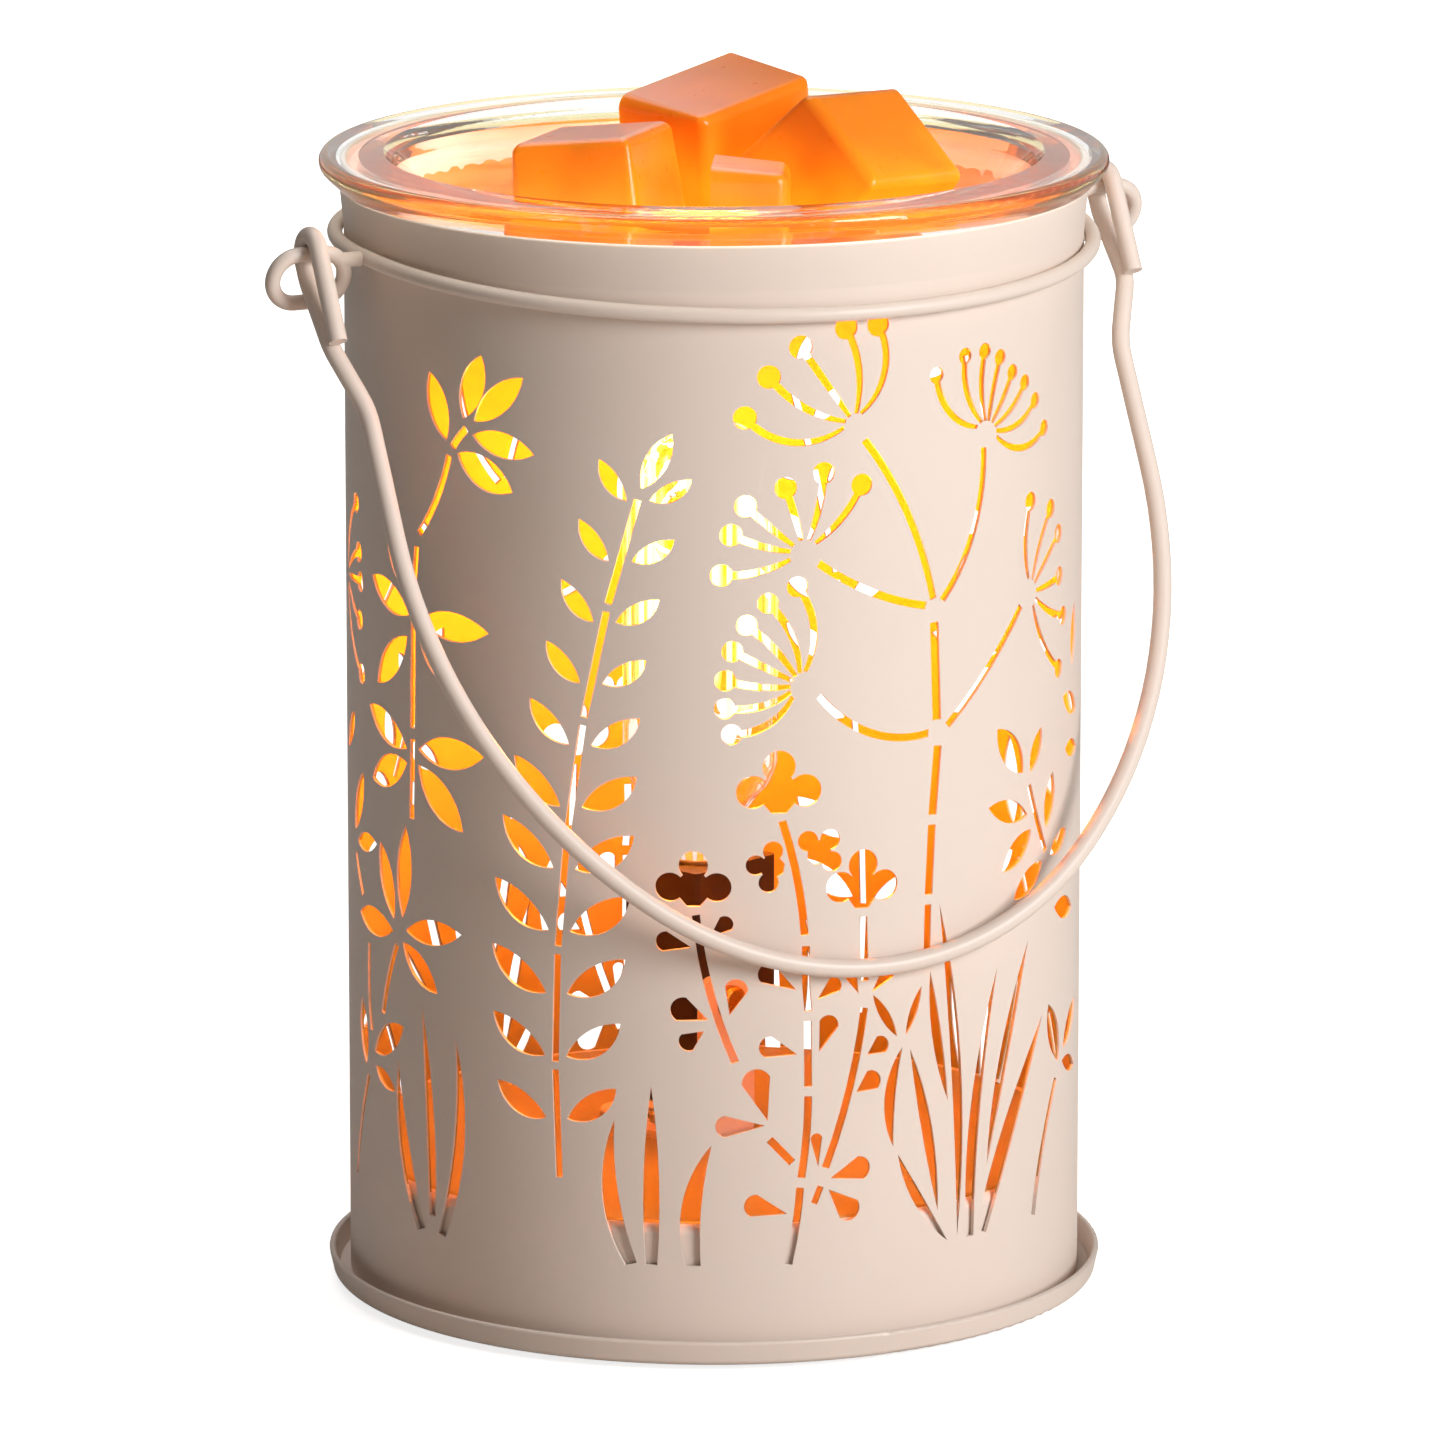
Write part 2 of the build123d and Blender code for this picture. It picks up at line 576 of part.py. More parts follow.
def make_bracket():
    """Angle plate: an upright leg on the lampholder's face, and a foot under it."""
    outer = bracket_face - bracket_wall
    points = [
        (outer, inner_top), (outer, bracket_top), (bracket_face, bracket_top),
        (bracket_face, inner_top + bracket_wall), (outer + bracket_foot, inner_top + bracket_wall),
        (outer + bracket_foot, inner_top),
    ]
    outline = make_face(Polyline(*points, close=True))
    outline = fillet(near(outline, points[0]), bracket_wall * 1.6)
    outline = fillet(near(outline, points[3]), bracket_wall * 0.6)
    plate = extrude(Plane.YZ * outline, bracket_width / 2, both=True)
    top_corners = plate.edges().filter_by(Axis.Y).group_by(Axis.Z)[-1]
    plate = fillet(top_corners, bracket_width * 0.22)
    plate = Pos(bracket_shift, 0, 0) * plate
    across = Pos(bracket_shift, bracket_face, inner_top + bracket_screw_height) * Rot(X=90)
    plate -= across * Cylinder(fixing_hole, 4 * bracket_wall)
    for y in foot_screw_places:
        plate -= Pos(bracket_shift, y, 0) * rod(fixing_hole, inner_top - 1, inner_top + 2 * bracket_wall)
    return lamp_place * plate


def make_bracket_screw():
    one = Rot(X=90) * screw(fixing_shank, fixing_head, fixing_head_height, bracket_screw_length)
    return lamp_place * Pos(bracket_shift, bracket_face - bracket_wall, inner_top + bracket_screw_height) * one


def make_foot_screws():
    one = screw(fixing_shank, fixing_head, fixing_head_height, foot_screw_length)
    return [lamp_place * Pos(bracket_shift, y, inner_top + bracket_wall) * one for y in foot_screw_places]


def make_foot_nuts():
    nut = extrude(RegularPolygon(nut_flats / 2, 6, major_radius=False), nut_height)
    nut -= rod(fixing_shank + screw_clear, -1, nut_height + 1)
    return [lamp_place * Pos(bracket_shift, y, inner_under - nut_height) * nut for y in foot_screw_places]


def make_holder():
    body = Pos(0, 0, holder_bottom) * extrude(Rectangle(holder_width, holder_depth), holder_top - holder_bottom)
    body = fillet(body.edges().filter_by(Axis.Z), 1.0)
    neck = Pos(0, 0, holder_bottom - holder_neck_height)
    neck *= extrude(Rectangle(holder_neck_width, holder_neck_depth), holder_neck_height)
    body += fillet(neck.edges().filter_by(Axis.Z), 2.5)
    body -= rod(shell_radius + touch, bore_bottom, holder_top + 1)
    body -= rod(shell_radius * 0.6, holder_bottom - holder_neck_height + 3.0, bore_bottom)
    hole = Pos(bracket_shift, bracket_face, inner_top + bracket_screw_height) * Rot(X=90)
    body -= hole * Cylinder(fixing_shank + screw_clear, 2 * bracket_screw_length)
    for side in (-1, 1):
        lead = rod(insulation + touch, holder_bottom - holder_neck_height - 1, bore_bottom)
        body -= Pos(side * lead_gap, 0, 0) * lead
    return lamp_place * body


def make_holder_shell():
    low = bore_bottom + touch
    shell = tube(shell_radius, shell_radius - shell_wall, low, low + shell_length)
    return lamp_place * shell


def make_holder_contact():
    """Sprung strip that meets the lamp's tip."""
    low = holder_bottom - holder_neck_height + 3.0 + touch
    post = Pos(-shell_radius * 0.4, 0, low) * extrude(Rectangle(0.5, 3.0), bore_bottom - low)
    tongue = Pos(0, 0, bore_bottom) * extrude(Rectangle(shell_radius * 0.8 + 0.5, 3.0), 0.5)
    rise = Pos(shell_radius * 0.2, 0, bore_bottom + 0.5)
    rise *= extrude(Rectangle(3.0, 3.0), cap_bottom - tip_height - bore_bottom - 0.5 - touch)
    return lamp_place * (post + tongue + rise)


# ---------------------------------------------------------------- lamp
tip_height = 1.6


def lamp_outline(inset):
    """Outline of the bulb, moved in by the thickness of its glass."""
    radius = lamp_radius - inset
    neck = lamp_neck - inset
    low = holder_top + 0.6
    top = lamp_top - inset
    points = [(0, low), (neck, low), (neck, low + 5.0), (radius, lamp_shoulder), (radius, top), (0, top)]
    rounds = ((points[2], 5.0), (points[3], 9.0), (points[4], radius * 0.82))
    return turned(points, rounds)


def make_lamp_glass():
    low = holder_top + 0.6
    glass = lamp_outline(0) - lamp_outline(glass_thin) - rod(lamp_neck - glass_thin, low - 1, low + 1)
    return lamp_place * glass


def make_lamp_stem():
    low = holder_top + 0.6
    top = low + stem_height
    radius = lamp_neck - glass_thin - touch
    points = [(0, low), (radius, low), (radius, low + 2.0), (2.4, low + 8.0), (2.0, top), (0, top)]
    stem = turned(points)
    for side in (-1, 1):
        stem -= Pos(side * press_gap, 0, 0) * rod(lead_wire + touch, top - press_depth, top + 1)
    return lamp_place * stem


def make_lamp_cap():
    low, high = cap_bottom, holder_top + 0.6 - touch
    cap = tube(cap_radius - cap_play, cap_radius - cap_play - cap_wall, low, high)
    cap += tube(cap_radius - cap_play, 2.4, low, low + cap_wall)
    return lamp_place * cap


def make_lamp_tip():
    """Solder tip in the black insulator that closes the cap."""
    tip = rod(1.8, cap_bottom - tip_height, cap_bottom + 1.0) + rod(2.4 - touch, cap_bottom - 0.4, cap_bottom + 1.0)
    return lamp_place * tip


def make_filament():
    """One wire that runs up and down round the stem like a cage."""
    points = []
    for i in range(filament_runs):
        angle = radians(40 + 280.0 * i / (filament_runs - 1))
        x, y = filament_radius * sin(angle), filament_radius * cos(angle)
        low, high = (x, y, filament_low), (x, y, filament_high)
        points += [low, high] if i % 2 == 0 else [high, low]
    return lamp_place * wire_along(Polyline(*points), filament_wire, Transition.RIGHT)


def make_lamp_leads():
    """Two stiff wires from the stem out to the first and last runs of the filament."""
    leads = []
    top = holder_top + 0.6 + stem_height
    out = filament_radius + filament_wire + lead_wire + touch
    for side in (-1, 1):
        angle = radians(180 + side * 140)
        x, y = out * sin(angle), out * cos(angle)
        path = FilletPolyline(
            (side * press_gap, 0, top - press_depth + touch), (side * press_gap, 0, top + 1.5),
            (x, y, filament_low - 1.5), (x, y, filament_low + 5.0), radius=1.2)
        leads.append(wire_along(path, lead_wire))
    return [lamp_place * lead for lead in leads]


# ---------------------------------------------------------------- wiring
def make_bushing(hole, flange, edge, bore, grip):
    """Snap-in bushing that stands on its flange, with a catch behind the wall."""
    points = [
        (bore, -grip), (hole - touch, -grip), (hole - touch, 0), (flange, 0),
        (flange, edge), (bore, edge),
    ]
    return turned(points, ((points[4], edge * 0.5),))


def make_lead_bushing():
    one = make_bushing(bushing_hole, bushing_flange, bushing_edge, 2.6, 2.4)
    return lamp_place * Pos(0, bushing_place, inner_top) * one


def make_inlet_bushing():
    reach = sleeve_radius - inner_radius + inner_wall + 1.6
    flat = sqrt(sleeve_radius**2 - inlet_flange**2)
    place = Pos(0, 0, inlet_height) * Rot(X=-90)
    saddle = Cylinder(sleeve_radius + touch, 4 * inlet_flange)
    collar = place * rod(inlet_flange, flat, sleeve_radius + inlet_edge) - Pos(0, 0, inlet_height) * saddle
    barrel = place * rod(inlet_hole - touch, sleeve_radius - reach, sleeve_radius + inlet_edge * 0.5)
    bore = place * rod(inlet_bore, sleeve_radius - 2 * reach, sleeve_radius + 2 * inlet_edge)
    return collar + barrel - bore


def make_terminal_block():
    body = Pos(0, block_setback, pan_centre) * extrude(Rectangle(block_length, block_width), block_height)
    for side in (-1, 1):
        well = rod(block_screw + 0.6, pan_centre + block_height - 3.0, pan_centre + block_height + 1)
        entry = Pos(side * block_length / 4, block_setback, pan_centre + block_height * 0.45) * Rot(X=90)
        body -= Pos(side * block_length / 4, block_setback, 0) * well
        body -= entry * Cylinder(insulation + touch, block_width + 1)
    return body


def make_terminal_screws():
    top = pan_centre + block_height - 3.0
    one = rod(block_screw, top, top + 2.4)
    return [Pos(side * block_length / 4, block_setback, 0) * one for side in (-1, 1)]


def make_lead(side):
    """Internal lead from the terminal block, through the inner base, to the lampholder."""
    across = (lamp_place * Pos(side * lead_pair, bushing_place, 0)).position
    end = (lamp_place * Pos(side * lead_gap, 0, 0)).position
    x = side * block_length / 4
    block_z = pan_centre + block_height * 0.45
    points = [
        (x, block_setback - block_width / 2 + 2.5, block_z),
        (x, block_setback - block_width / 2 - 3.5, block_z),
        (across.X, across.Y, inner_under - 9.0),
        (across.X, across.Y, inner_top + 3.8),
        (end.X, end.Y, inner_top + 5.4),
        (end.X, end.Y, holder_bottom - holder_neck_height + 2.5),
    ]
    return wire_along(FilletPolyline(*points, radius=1.8), insulation)


# ---------------------------------------------------------------- dish and wax
def make_dish():
    seat = top_radius + seat_overhang
    bowl = top_radius - top_hem - dish_locate
    under = bowl_floor - glass_wall
    mid = sleeve_top + flange_height * 0.55
    points = [
        (0, under), (dish_floor_radius + 1.0, under), (bowl, sleeve_top - 2.0), (bowl, sleeve_top),
        (seat, sleeve_top), (flange_radius, mid), (flange_radius, dish_top), (flange_face, dish_top),
        (dish_mouth, dish_top - 1.6), (dish_floor_radius, bowl_floor), (0, bowl_floor),
    ]
    rounds = (
        (points[1], 4.0), (points[5], 1.6), (points[6], 1.4), (points[8], 0.8), (points[9], 4.0),
    )
    return Pos(0, 0, touch) * turned(points, rounds)


def make_pool():
    slope = (dish_mouth - dish_floor_radius) / (dish_depth - 1.6)
    low = dish_floor_radius - 4.0
    high = dish_floor_radius + slope * pool_depth - 4 * touch
    points = [(0, bowl_floor), (low, bowl_floor), (high, pool_top), (0, pool_top)]
    return Pos(0, 0, 2 * touch) * turned(points, ((points[1], 3.0),))


def wax_block(length, width, height):
    """Cube cast in a tapered tray, with soft edges; the origin is at its middle."""
    block = Pos(0, 0, -height / 2) * extrude(RectangleRounded(length, width, wax_round), height, taper=wax_draft)
    top = block.faces().sort_by(Axis.Z)[-1].edges()
    return fillet(top, wax_round * 0.8)


def make_melts():
    """Cubes as they were dropped in, melted away where they stand in the pool.

    Each is (x, y, height of its middle above the pool, turn, tip, lean, share of a cube).
    """
    places = (
        (-23.4, -4.8, 9.6, 48.6, 3.0, -5.7, 1.0),
        (21.0, -9.0, 9.6, 29.0, 5.0, 43.0, 1.0),
        (7.8, 12.9, 10.9, 20.8, -8.5, 92.5, 1.0),
        (-6.0, -25.6, 7.6, 62.0, 3.0, 91.0, 0.7),
    )
    melted = Pos(0, 0, pool_top + 3 * touch) * Box(200, 200, 100, align=(Align.CENTER, Align.CENTER, Align.MAX))
    melts = []
    for x, y, rise, turn, tip, lean, share in places:
        block = wax_block(wax_length * share, wax_width * share, wax_height * share)
        block = Pos(x, y, pool_top + rise) * Rot(Z=turn) * Rot(Y=tip) * Rot(X=lean) * block
        melts.append(block - melted)
    return melts


# ---------------------------------------------------------------- write
def as_one(shape):
    """One shape to export, whatever a maker returns."""
    if isinstance(shape, (list, tuple)):
        return Compound(children=[Compound(item.solids()) for item in shape])
    return shape


nodes = {
    "body_sleeve": make_sleeve(),
    "neck_ring": make_neck_ring(),
    "ear_right": make_ear(1),
    "ear_left": make_ear(-1),
    "bail_handle": make_bail(),
    "base_pan": make_base_pan(),
    "inner_base": make_inner_base(),
    "standoffs": make_standoffs(),
    "base_screws": make_base_screws(),
    "rubber_feet": make_feet(),
    "socket_bracket": make_bracket(),
    "bracket_screw": make_bracket_screw(),
    "foot_screws": make_foot_screws(),
    "foot_nuts": make_foot_nuts(),
    "lampholder": make_holder(),
    "holder_shell": make_holder_shell(),
    "holder_contact": make_holder_contact(),
    "lamp_glass": make_lamp_glass(),
    "lamp_stem": make_lamp_stem(),
    "lamp_cap": make_lamp_cap(),
    "lamp_tip": make_lamp_tip(),
    "lamp_filament": make_filament(),
    "lamp_leads": make_lamp_leads(),
    "lead_bushing": make_lead_bushing(),
    "inlet_bushing": make_inlet_bushing(),
    "terminal_block": make_terminal_block(),
    "terminal_screws": make_terminal_screws(),
    "lead_live": make_lead(1),
    "lead_neutral": make_lead(-1),
    "glass_dish": make_dish(),
    "wax_pool": make_pool(),
    "wax_melts": make_melts(),
}

os.makedirs("parts", exist_ok=True)
for name, shape in nodes.items():
    export_step(as_one(shape), f"parts/{name}.step")
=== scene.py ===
import logging
import math
from dataclasses import dataclass, field
from enum import Enum

import bpy
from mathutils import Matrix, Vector


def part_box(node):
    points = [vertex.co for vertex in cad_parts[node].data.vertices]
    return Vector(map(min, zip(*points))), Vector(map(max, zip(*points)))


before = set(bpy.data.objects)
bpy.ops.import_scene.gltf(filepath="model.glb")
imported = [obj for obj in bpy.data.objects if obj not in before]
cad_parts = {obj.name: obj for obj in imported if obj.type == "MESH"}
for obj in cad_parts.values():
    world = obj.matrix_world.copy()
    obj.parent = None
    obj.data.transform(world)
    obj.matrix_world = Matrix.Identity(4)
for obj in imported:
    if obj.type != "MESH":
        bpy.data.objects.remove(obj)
log = logging.getLogger("wax_warmer")

MM = 0.001
WHITE = (1.0, 1.0, 1.0, 1.0)
LEVEL = (1.0, 1.0, 0.0)     # keeps what lies level and drops the height
PICTURE_SIDE = 1440         # pixels
FILM_WIDTH = 36.0           # mm
WAVE_RATE = 20.0            # radians that a Wave texture turns per unit of its scale
MIX_FACTOR, MIX_FIRST, MIX_SECOND, MIX_RESULT = 0, 6, 7, 2  # a Mix node's sockets for colour

Point = tuple[float, float, float]
Span = tuple[float, float]
Tree = bpy.types.NodeTree
Socket = bpy.types.NodeSocket


# ------------------------------------------------------------------ helpers
def linear(colour: str) -> tuple[float, float, float, float]:
    """Turn an sRGB hex colour into a linear one.

    Args:
        colour: six hex digits after a #.

    Returns:
        Linear red, green and blue, and an alpha of 1.
    """
    parts = [int(colour[i:i + 2], 16) / 255 for i in (1, 3, 5)]
    curve = [p / 12.92 if p <= 0.04045 else ((p + 0.055) / 1.055) ** 2.4 for p in parts]
    return (curve[0], curve[1], curve[2], 1.0)


def per_mm(size: float) -> float:
    """Texture scale whose features are about this many millimetres wide."""
    return 1.0 / (size * MM)


def add_node(tree: Tree, kind: str, settings: dict | None = None,
             links: dict | None = None) -> bpy.types.Node:
    """Add one node with its settings and links.

    Args:
        tree: the node tree that it joins.
        kind: the node's bl_idname.
        settings: input names or numbers, or attributes, with their values.
        links: input names or numbers, with the sockets that feed them.

    Returns:
        The new node.
    """
    node = tree.nodes.new(kind)
    for key, value in (settings or {}).items():
        if isinstance(key, int) or key in node.inputs:
            node.inputs[key].default_value = value
        else:
            setattr(node, key, value)
    for key, socket in (links or {}).items():
        tree.links.new(socket, node.inputs[key])
    return node


def from_axis(tree: Tree, place: Socket) -> Socket:
    """Measure how far each point lies from the lantern's upright axis.

    Args:
        tree: the node tree to add to.
        place: the point's place on the object.

    Returns:
        The distance in metres.
    """
    across = add_node(tree, "ShaderNodeVectorMath", {"operation": "MULTIPLY", 1: LEVEL},
                      {0: place})
    length = add_node(tree, "ShaderNodeVectorMath", {"operation": "LENGTH"},
                      {0: across.outputs["Vector"]})
    return length.outputs["Value"]


def dress(names: tuple[str, ...], material: bpy.types.Material) -> None:
    """Give CAD nodes a material.

    Args:
        names: the nodes.
        material: what they are finished in.
    """
    for name in names:
        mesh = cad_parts[name].data
        mesh.materials.clear()
        mesh.materials.append(material)
        log.info("%s: %s", name, material.name)


# ------------------------------------------------------------------ finishes
@dataclass(frozen=True)
class Finish:
    """What every finish has: a name, and a material made from its own nodes.

    Sizes, heights and depths in the finishes are in millimetres.
    """

    name: str

    def material(self) -> bpy.types.Material:
        """Make the material.

        Returns:
            The material, with this finish's surface on its output.
        """
        material = bpy.data.materials.new(self.name)
        material.use_nodes = True
        tree = material.node_tree
        tree.nodes.clear()
        place = add_node(tree, "ShaderNodeTexCoord").outputs["Object"]
        add_node(tree, "ShaderNodeOutputMaterial", {}, {"Surface": self.surface(tree, place)})
        return material

    def surface(self, tree: Tree, place: Socket) -> Socket:
        """Lay out the finish; each kind of finish has its own way.

        Args:
            tree: the material's node tree.
            place: the point's place on the object.

        Returns:
            The shader.
        """
        raise NotImplementedError(self.name)


@dataclass(frozen=True)
class PowderCoatedSteel(Finish):
    """Sheet steel and wire, sprayed with polyester powder and baked.

    The cured powder gives a soft satin sheen and a faint orange-peel texture, drawn at its
    real size. Wire and sheet look the same because both went through the same booth, and the
    film drifts slowly between two close shades.
    """

    name: str = "powder_coated_steel"
    colour: str = "#DDCBBE"
    shade: str = "#D3BFB0"
    ior: float = 1.5
    specular: float = 0.4
    roughness: Span = (0.36, 0.46)
    peel: float = 0.9
    peel_detail: float = 1.5
    peel_strength: float = 0.06
    peel_depth: float = 0.1
    cloud: float = 38.0
    cloud_detail: float = 2.0
    cloud_span: Span = (0.45, 0.8)
    cloud_most: float = 0.25

    def surface(self, tree: Tree, place: Socket) -> Socket:
        """Lay out the coat.

        Args:
            tree: the material's node tree.
            place: the point's place on the object.

        Returns:
            The shader.
        """
        cloud = add_node(tree, "ShaderNodeTexNoise",
                         {"Scale": per_mm(self.cloud), "Detail": self.cloud_detail},
                         {"Vector": place})
        share = add_node(tree, "ShaderNodeMapRange",
                         {"From Min": self.cloud_span[0], "From Max": self.cloud_span[1],
                          "To Max": self.cloud_most},
                         {"Value": cloud.outputs["Fac"]})
        tint = add_node(tree, "ShaderNodeMix",
                        {"data_type": "RGBA", MIX_FIRST: linear(self.colour),
                         MIX_SECOND: linear(self.shade)},
                        {MIX_FACTOR: share.outputs["Result"]})
        peel = add_node(tree, "ShaderNodeTexNoise",
                        {"Scale": per_mm(self.peel), "Detail": self.peel_detail},
                        {"Vector": place})
        bump = add_node(tree, "ShaderNodeBump",
                        {"Strength": self.peel_strength, "Distance": self.peel_depth * MM},
                        {"Height": peel.outputs["Fac"]})
        rough = add_node(tree, "ShaderNodeMapRange",
                         {"To Min": self.roughness[0], "To Max": self.roughness[1]},
                         {"Value": peel.outputs["Fac"]})
        shader = add_node(tree, "ShaderNodeBsdfPrincipled",
                          {"IOR": self.ior, "Specular IOR Level": self.specular},
                          {"Base Color": self.painted_light_and_shade(tree, place, tint.outputs[MIX_RESULT]),
                           "Roughness": rough.outputs["Result"],
                           "Normal": bump.outputs["Normal"]})
        return shader.outputs["BSDF"]

    def painted_light_and_shade(self, tree: Tree, place: Socket, fresh: Socket) -> Socket:
        """Paint lamp light and shade into the coat by place: the plain coat keeps its own
        colour.

        Args:
            tree: the material's node tree.
            place: the point's place on the object.
            fresh: the colour that the coat was baked to.

        Returns:
            The colour that shows.
        """
        return fresh


@dataclass(frozen=True)
class LampLightPaintedCoat(PowderCoatedSteel):
    """The same powder coat inside the sleeve, with the lamp's light and shade painted into it.

    It is painted straw light beside the lamp, a painted darker brown shade low down, and
    painted amber light under the dish. The outer side, past the radius, and the foot below the
    painted height keep the fresh colour.
    """

    name: str = "powder_coat_with_painted_lamp_light"
    # painted lamp light and shade: straw beside the lamp, brown low down, amber under the dish
    straw: str = "#D8B84A"
    brown: str = "#95804B"
    painted_dish_glow: str = "#C08A1A"
    painted_radius: float = 59.7
    painted_above: float = 23.3
    straw_above: float = 84.0
    dish_glow_above: float = 150.0
    dish_glow_fade: float = 14.0

    def painted_light_and_shade(self, tree: Tree, place: Socket, fresh: Socket) -> Socket:
        """Paint the lamp's light and shade into the coat inside the sleeve, by height.

        Args:
            tree: the material's node tree.
            place: the point's place on the object.
            fresh: the colour that the coat was baked to.

        Returns:
            The colour that shows.
        """
        height = add_node(tree, "ShaderNodeSeparateXYZ", {}, {0: place}).outputs["Z"]
        inside = add_node(tree, "ShaderNodeMath",
                          {"operation": "LESS_THAN", 1: self.painted_radius * MM},
                          {0: from_axis(tree, place)})
        above = add_node(tree, "ShaderNodeMath",
                         {"operation": "GREATER_THAN", 1: self.painted_above * MM}, {0: height})
        where = add_node(tree, "ShaderNodeMath", {"operation": "MULTIPLY"},
                         {0: inside.outputs[0], 1: above.outputs[0]})
        rise = add_node(tree, "ShaderNodeMapRange",
                        {"From Min": self.painted_above * MM, "From Max": self.straw_above * MM},
                        {"Value": height})
        # painted shade: brown at the foot, rising to painted straw light beside the lamp
        painted_shading = add_node(tree, "ShaderNodeMix",
                        {"data_type": "RGBA", MIX_FIRST: linear(self.brown),
                         MIX_SECOND: linear(self.straw)},
                        {MIX_FACTOR: rise.outputs["Result"]})
        # painted amber light under the dish
        dish_glow_rise = add_node(tree, "ShaderNodeMapRange",
                        {"From Min": self.dish_glow_above * MM,
                         "From Max": (self.dish_glow_above + self.dish_glow_fade) * MM},
                        {"Value": height})
        painted_dish_glow = add_node(tree, "ShaderNodeMix",
                         {"data_type": "RGBA", MIX_SECOND: linear(self.painted_dish_glow)},
                         {MIX_FACTOR: dish_glow_rise.outputs["Result"],
                          MIX_FIRST: painted_shading.outputs[MIX_RESULT]})
        shown = add_node(tree, "ShaderNodeMix", {"data_type": "RGBA"},
                         {MIX_FACTOR: where.outputs[0], MIX_FIRST: fresh,
                          MIX_SECOND: painted_dish_glow.outputs[MIX_RESULT]})
        return shown.outputs[MIX_RESULT]


@dataclass(frozen=True)
class ClearGlass(Finish):
    """Soda-lime glass, pressed or pinched and fire polished: clear, with hard-edged highlights.

    The melt flowed outwards under the plunger, which leaves faint rings that bend what is seen
    through them. A small share of what lies behind shows unbent. Light is let straight through
    for shadows, as glass of this thickness does.
    """

    tint: str = "#FBFDFC"
    ior: float = 1.5
    clear: float = 0.06
    ring: float = 3.2
    ring_detail: float = 2.0
    ring_strength: float = 0.4
    ring_depth: float = 0.2
    drift: float = 0.1

    def surface(self, tree: Tree, place: Socket) -> Socket:
        """Lay out the glass.

        Args:
            tree: the material's node tree.
            place: the point's place on the object.

        Returns:
            The shader.
        """
        radius = from_axis(tree, place)
        height = add_node(tree, "ShaderNodeSeparateXYZ", {}, {0: place}).outputs["Z"]
        rings = add_node(tree, "ShaderNodeCombineXYZ", {}, {0: radius, 1: height})
        drift = add_node(tree, "ShaderNodeVectorMath",
                         {"operation": "MULTIPLY_ADD", 1: (self.drift,) * 3},
                         {0: place, 2: rings.outputs["Vector"]})
        flow = add_node(tree, "ShaderNodeTexNoise",
                        {"Scale": per_mm(self.ring), "Detail": self.ring_detail},
                        {"Vector": drift.outputs["Vector"]})
        bump = add_node(tree, "ShaderNodeBump",
                        {"Strength": self.ring_strength, "Distance": self.ring_depth * MM},
                        {"Height": flow.outputs["Fac"]})
        glass = add_node(tree, "ShaderNodeBsdfPrincipled",
                         {"Base Color": linear(self.tint), "IOR": self.ior, "Roughness": 0.0,
                          "Transmission Weight": 1.0},
                         {"Normal": bump.outputs["Normal"], **self.tinted(tree, radius)})
        path = add_node(tree, "ShaderNodeLightPath")
        share = add_node(tree, "ShaderNodeMath", {"operation": "MAXIMUM", 1: self.clear},
                         {0: path.outputs["Is Shadow Ray"]})
        clear = add_node(tree, "ShaderNodeBsdfTransparent", {"Color": linear(self.tint)})
        mixed = add_node(tree, "ShaderNodeMixShader", {},
                         {0: share.outputs[0], 1: glass.outputs["BSDF"],
                          2: clear.outputs["BSDF"]})
        return mixed.outputs["Shader"]

    def tinted(self, tree: Tree, radius: Socket) -> dict[str, Socket]:
        """Tint the glass by place: plain glass has one tint.

        Args:
            tree: the material's node tree.
            radius: distance from the lantern's axis.

        Returns:
            Links for the shader's colour, if any.
        """
        return {}


@dataclass(frozen=True)
class PressedDishGlass(ClearGlass):
    """Pressed glass whose flange carries the lamp's light outwards to its upright edge.

    That light is painted as a honey tint on what is seen through the edge.
    """

    name: str = "pressed_dish_glass"
    edge: float = 62.6
    # painted glow: a honey tint for the lamp's light at the flange's edge
    edge_glow_tint: str = "#FFE67C"

    def tinted(self, tree: Tree, radius: Socket) -> dict[str, Socket]:
        """Paint the lamp's light at the flange's edge as a honey tint.

        Args:
            tree: the material's node tree.
            radius: distance from the lantern's axis.

        Returns:
            The link for the shader's colour.
        """
        edge = add_node(tree, "ShaderNodeMath",
                        {"operation": "GREATER_THAN", 1: self.edge * MM}, {0: radius})
        # painted glow: the edge is tinted honey where the lamp's light reaches it
        tint = add_node(tree, "ShaderNodeMix",
                        {"data_type": "RGBA", MIX_FIRST: linear(self.tint),
                         MIX_SECOND: linear(self.edge_glow_tint)},
                        {MIX_FACTOR: edge.outputs[0]})
        return {"Base Color": tint.outputs[MIX_RESULT]}


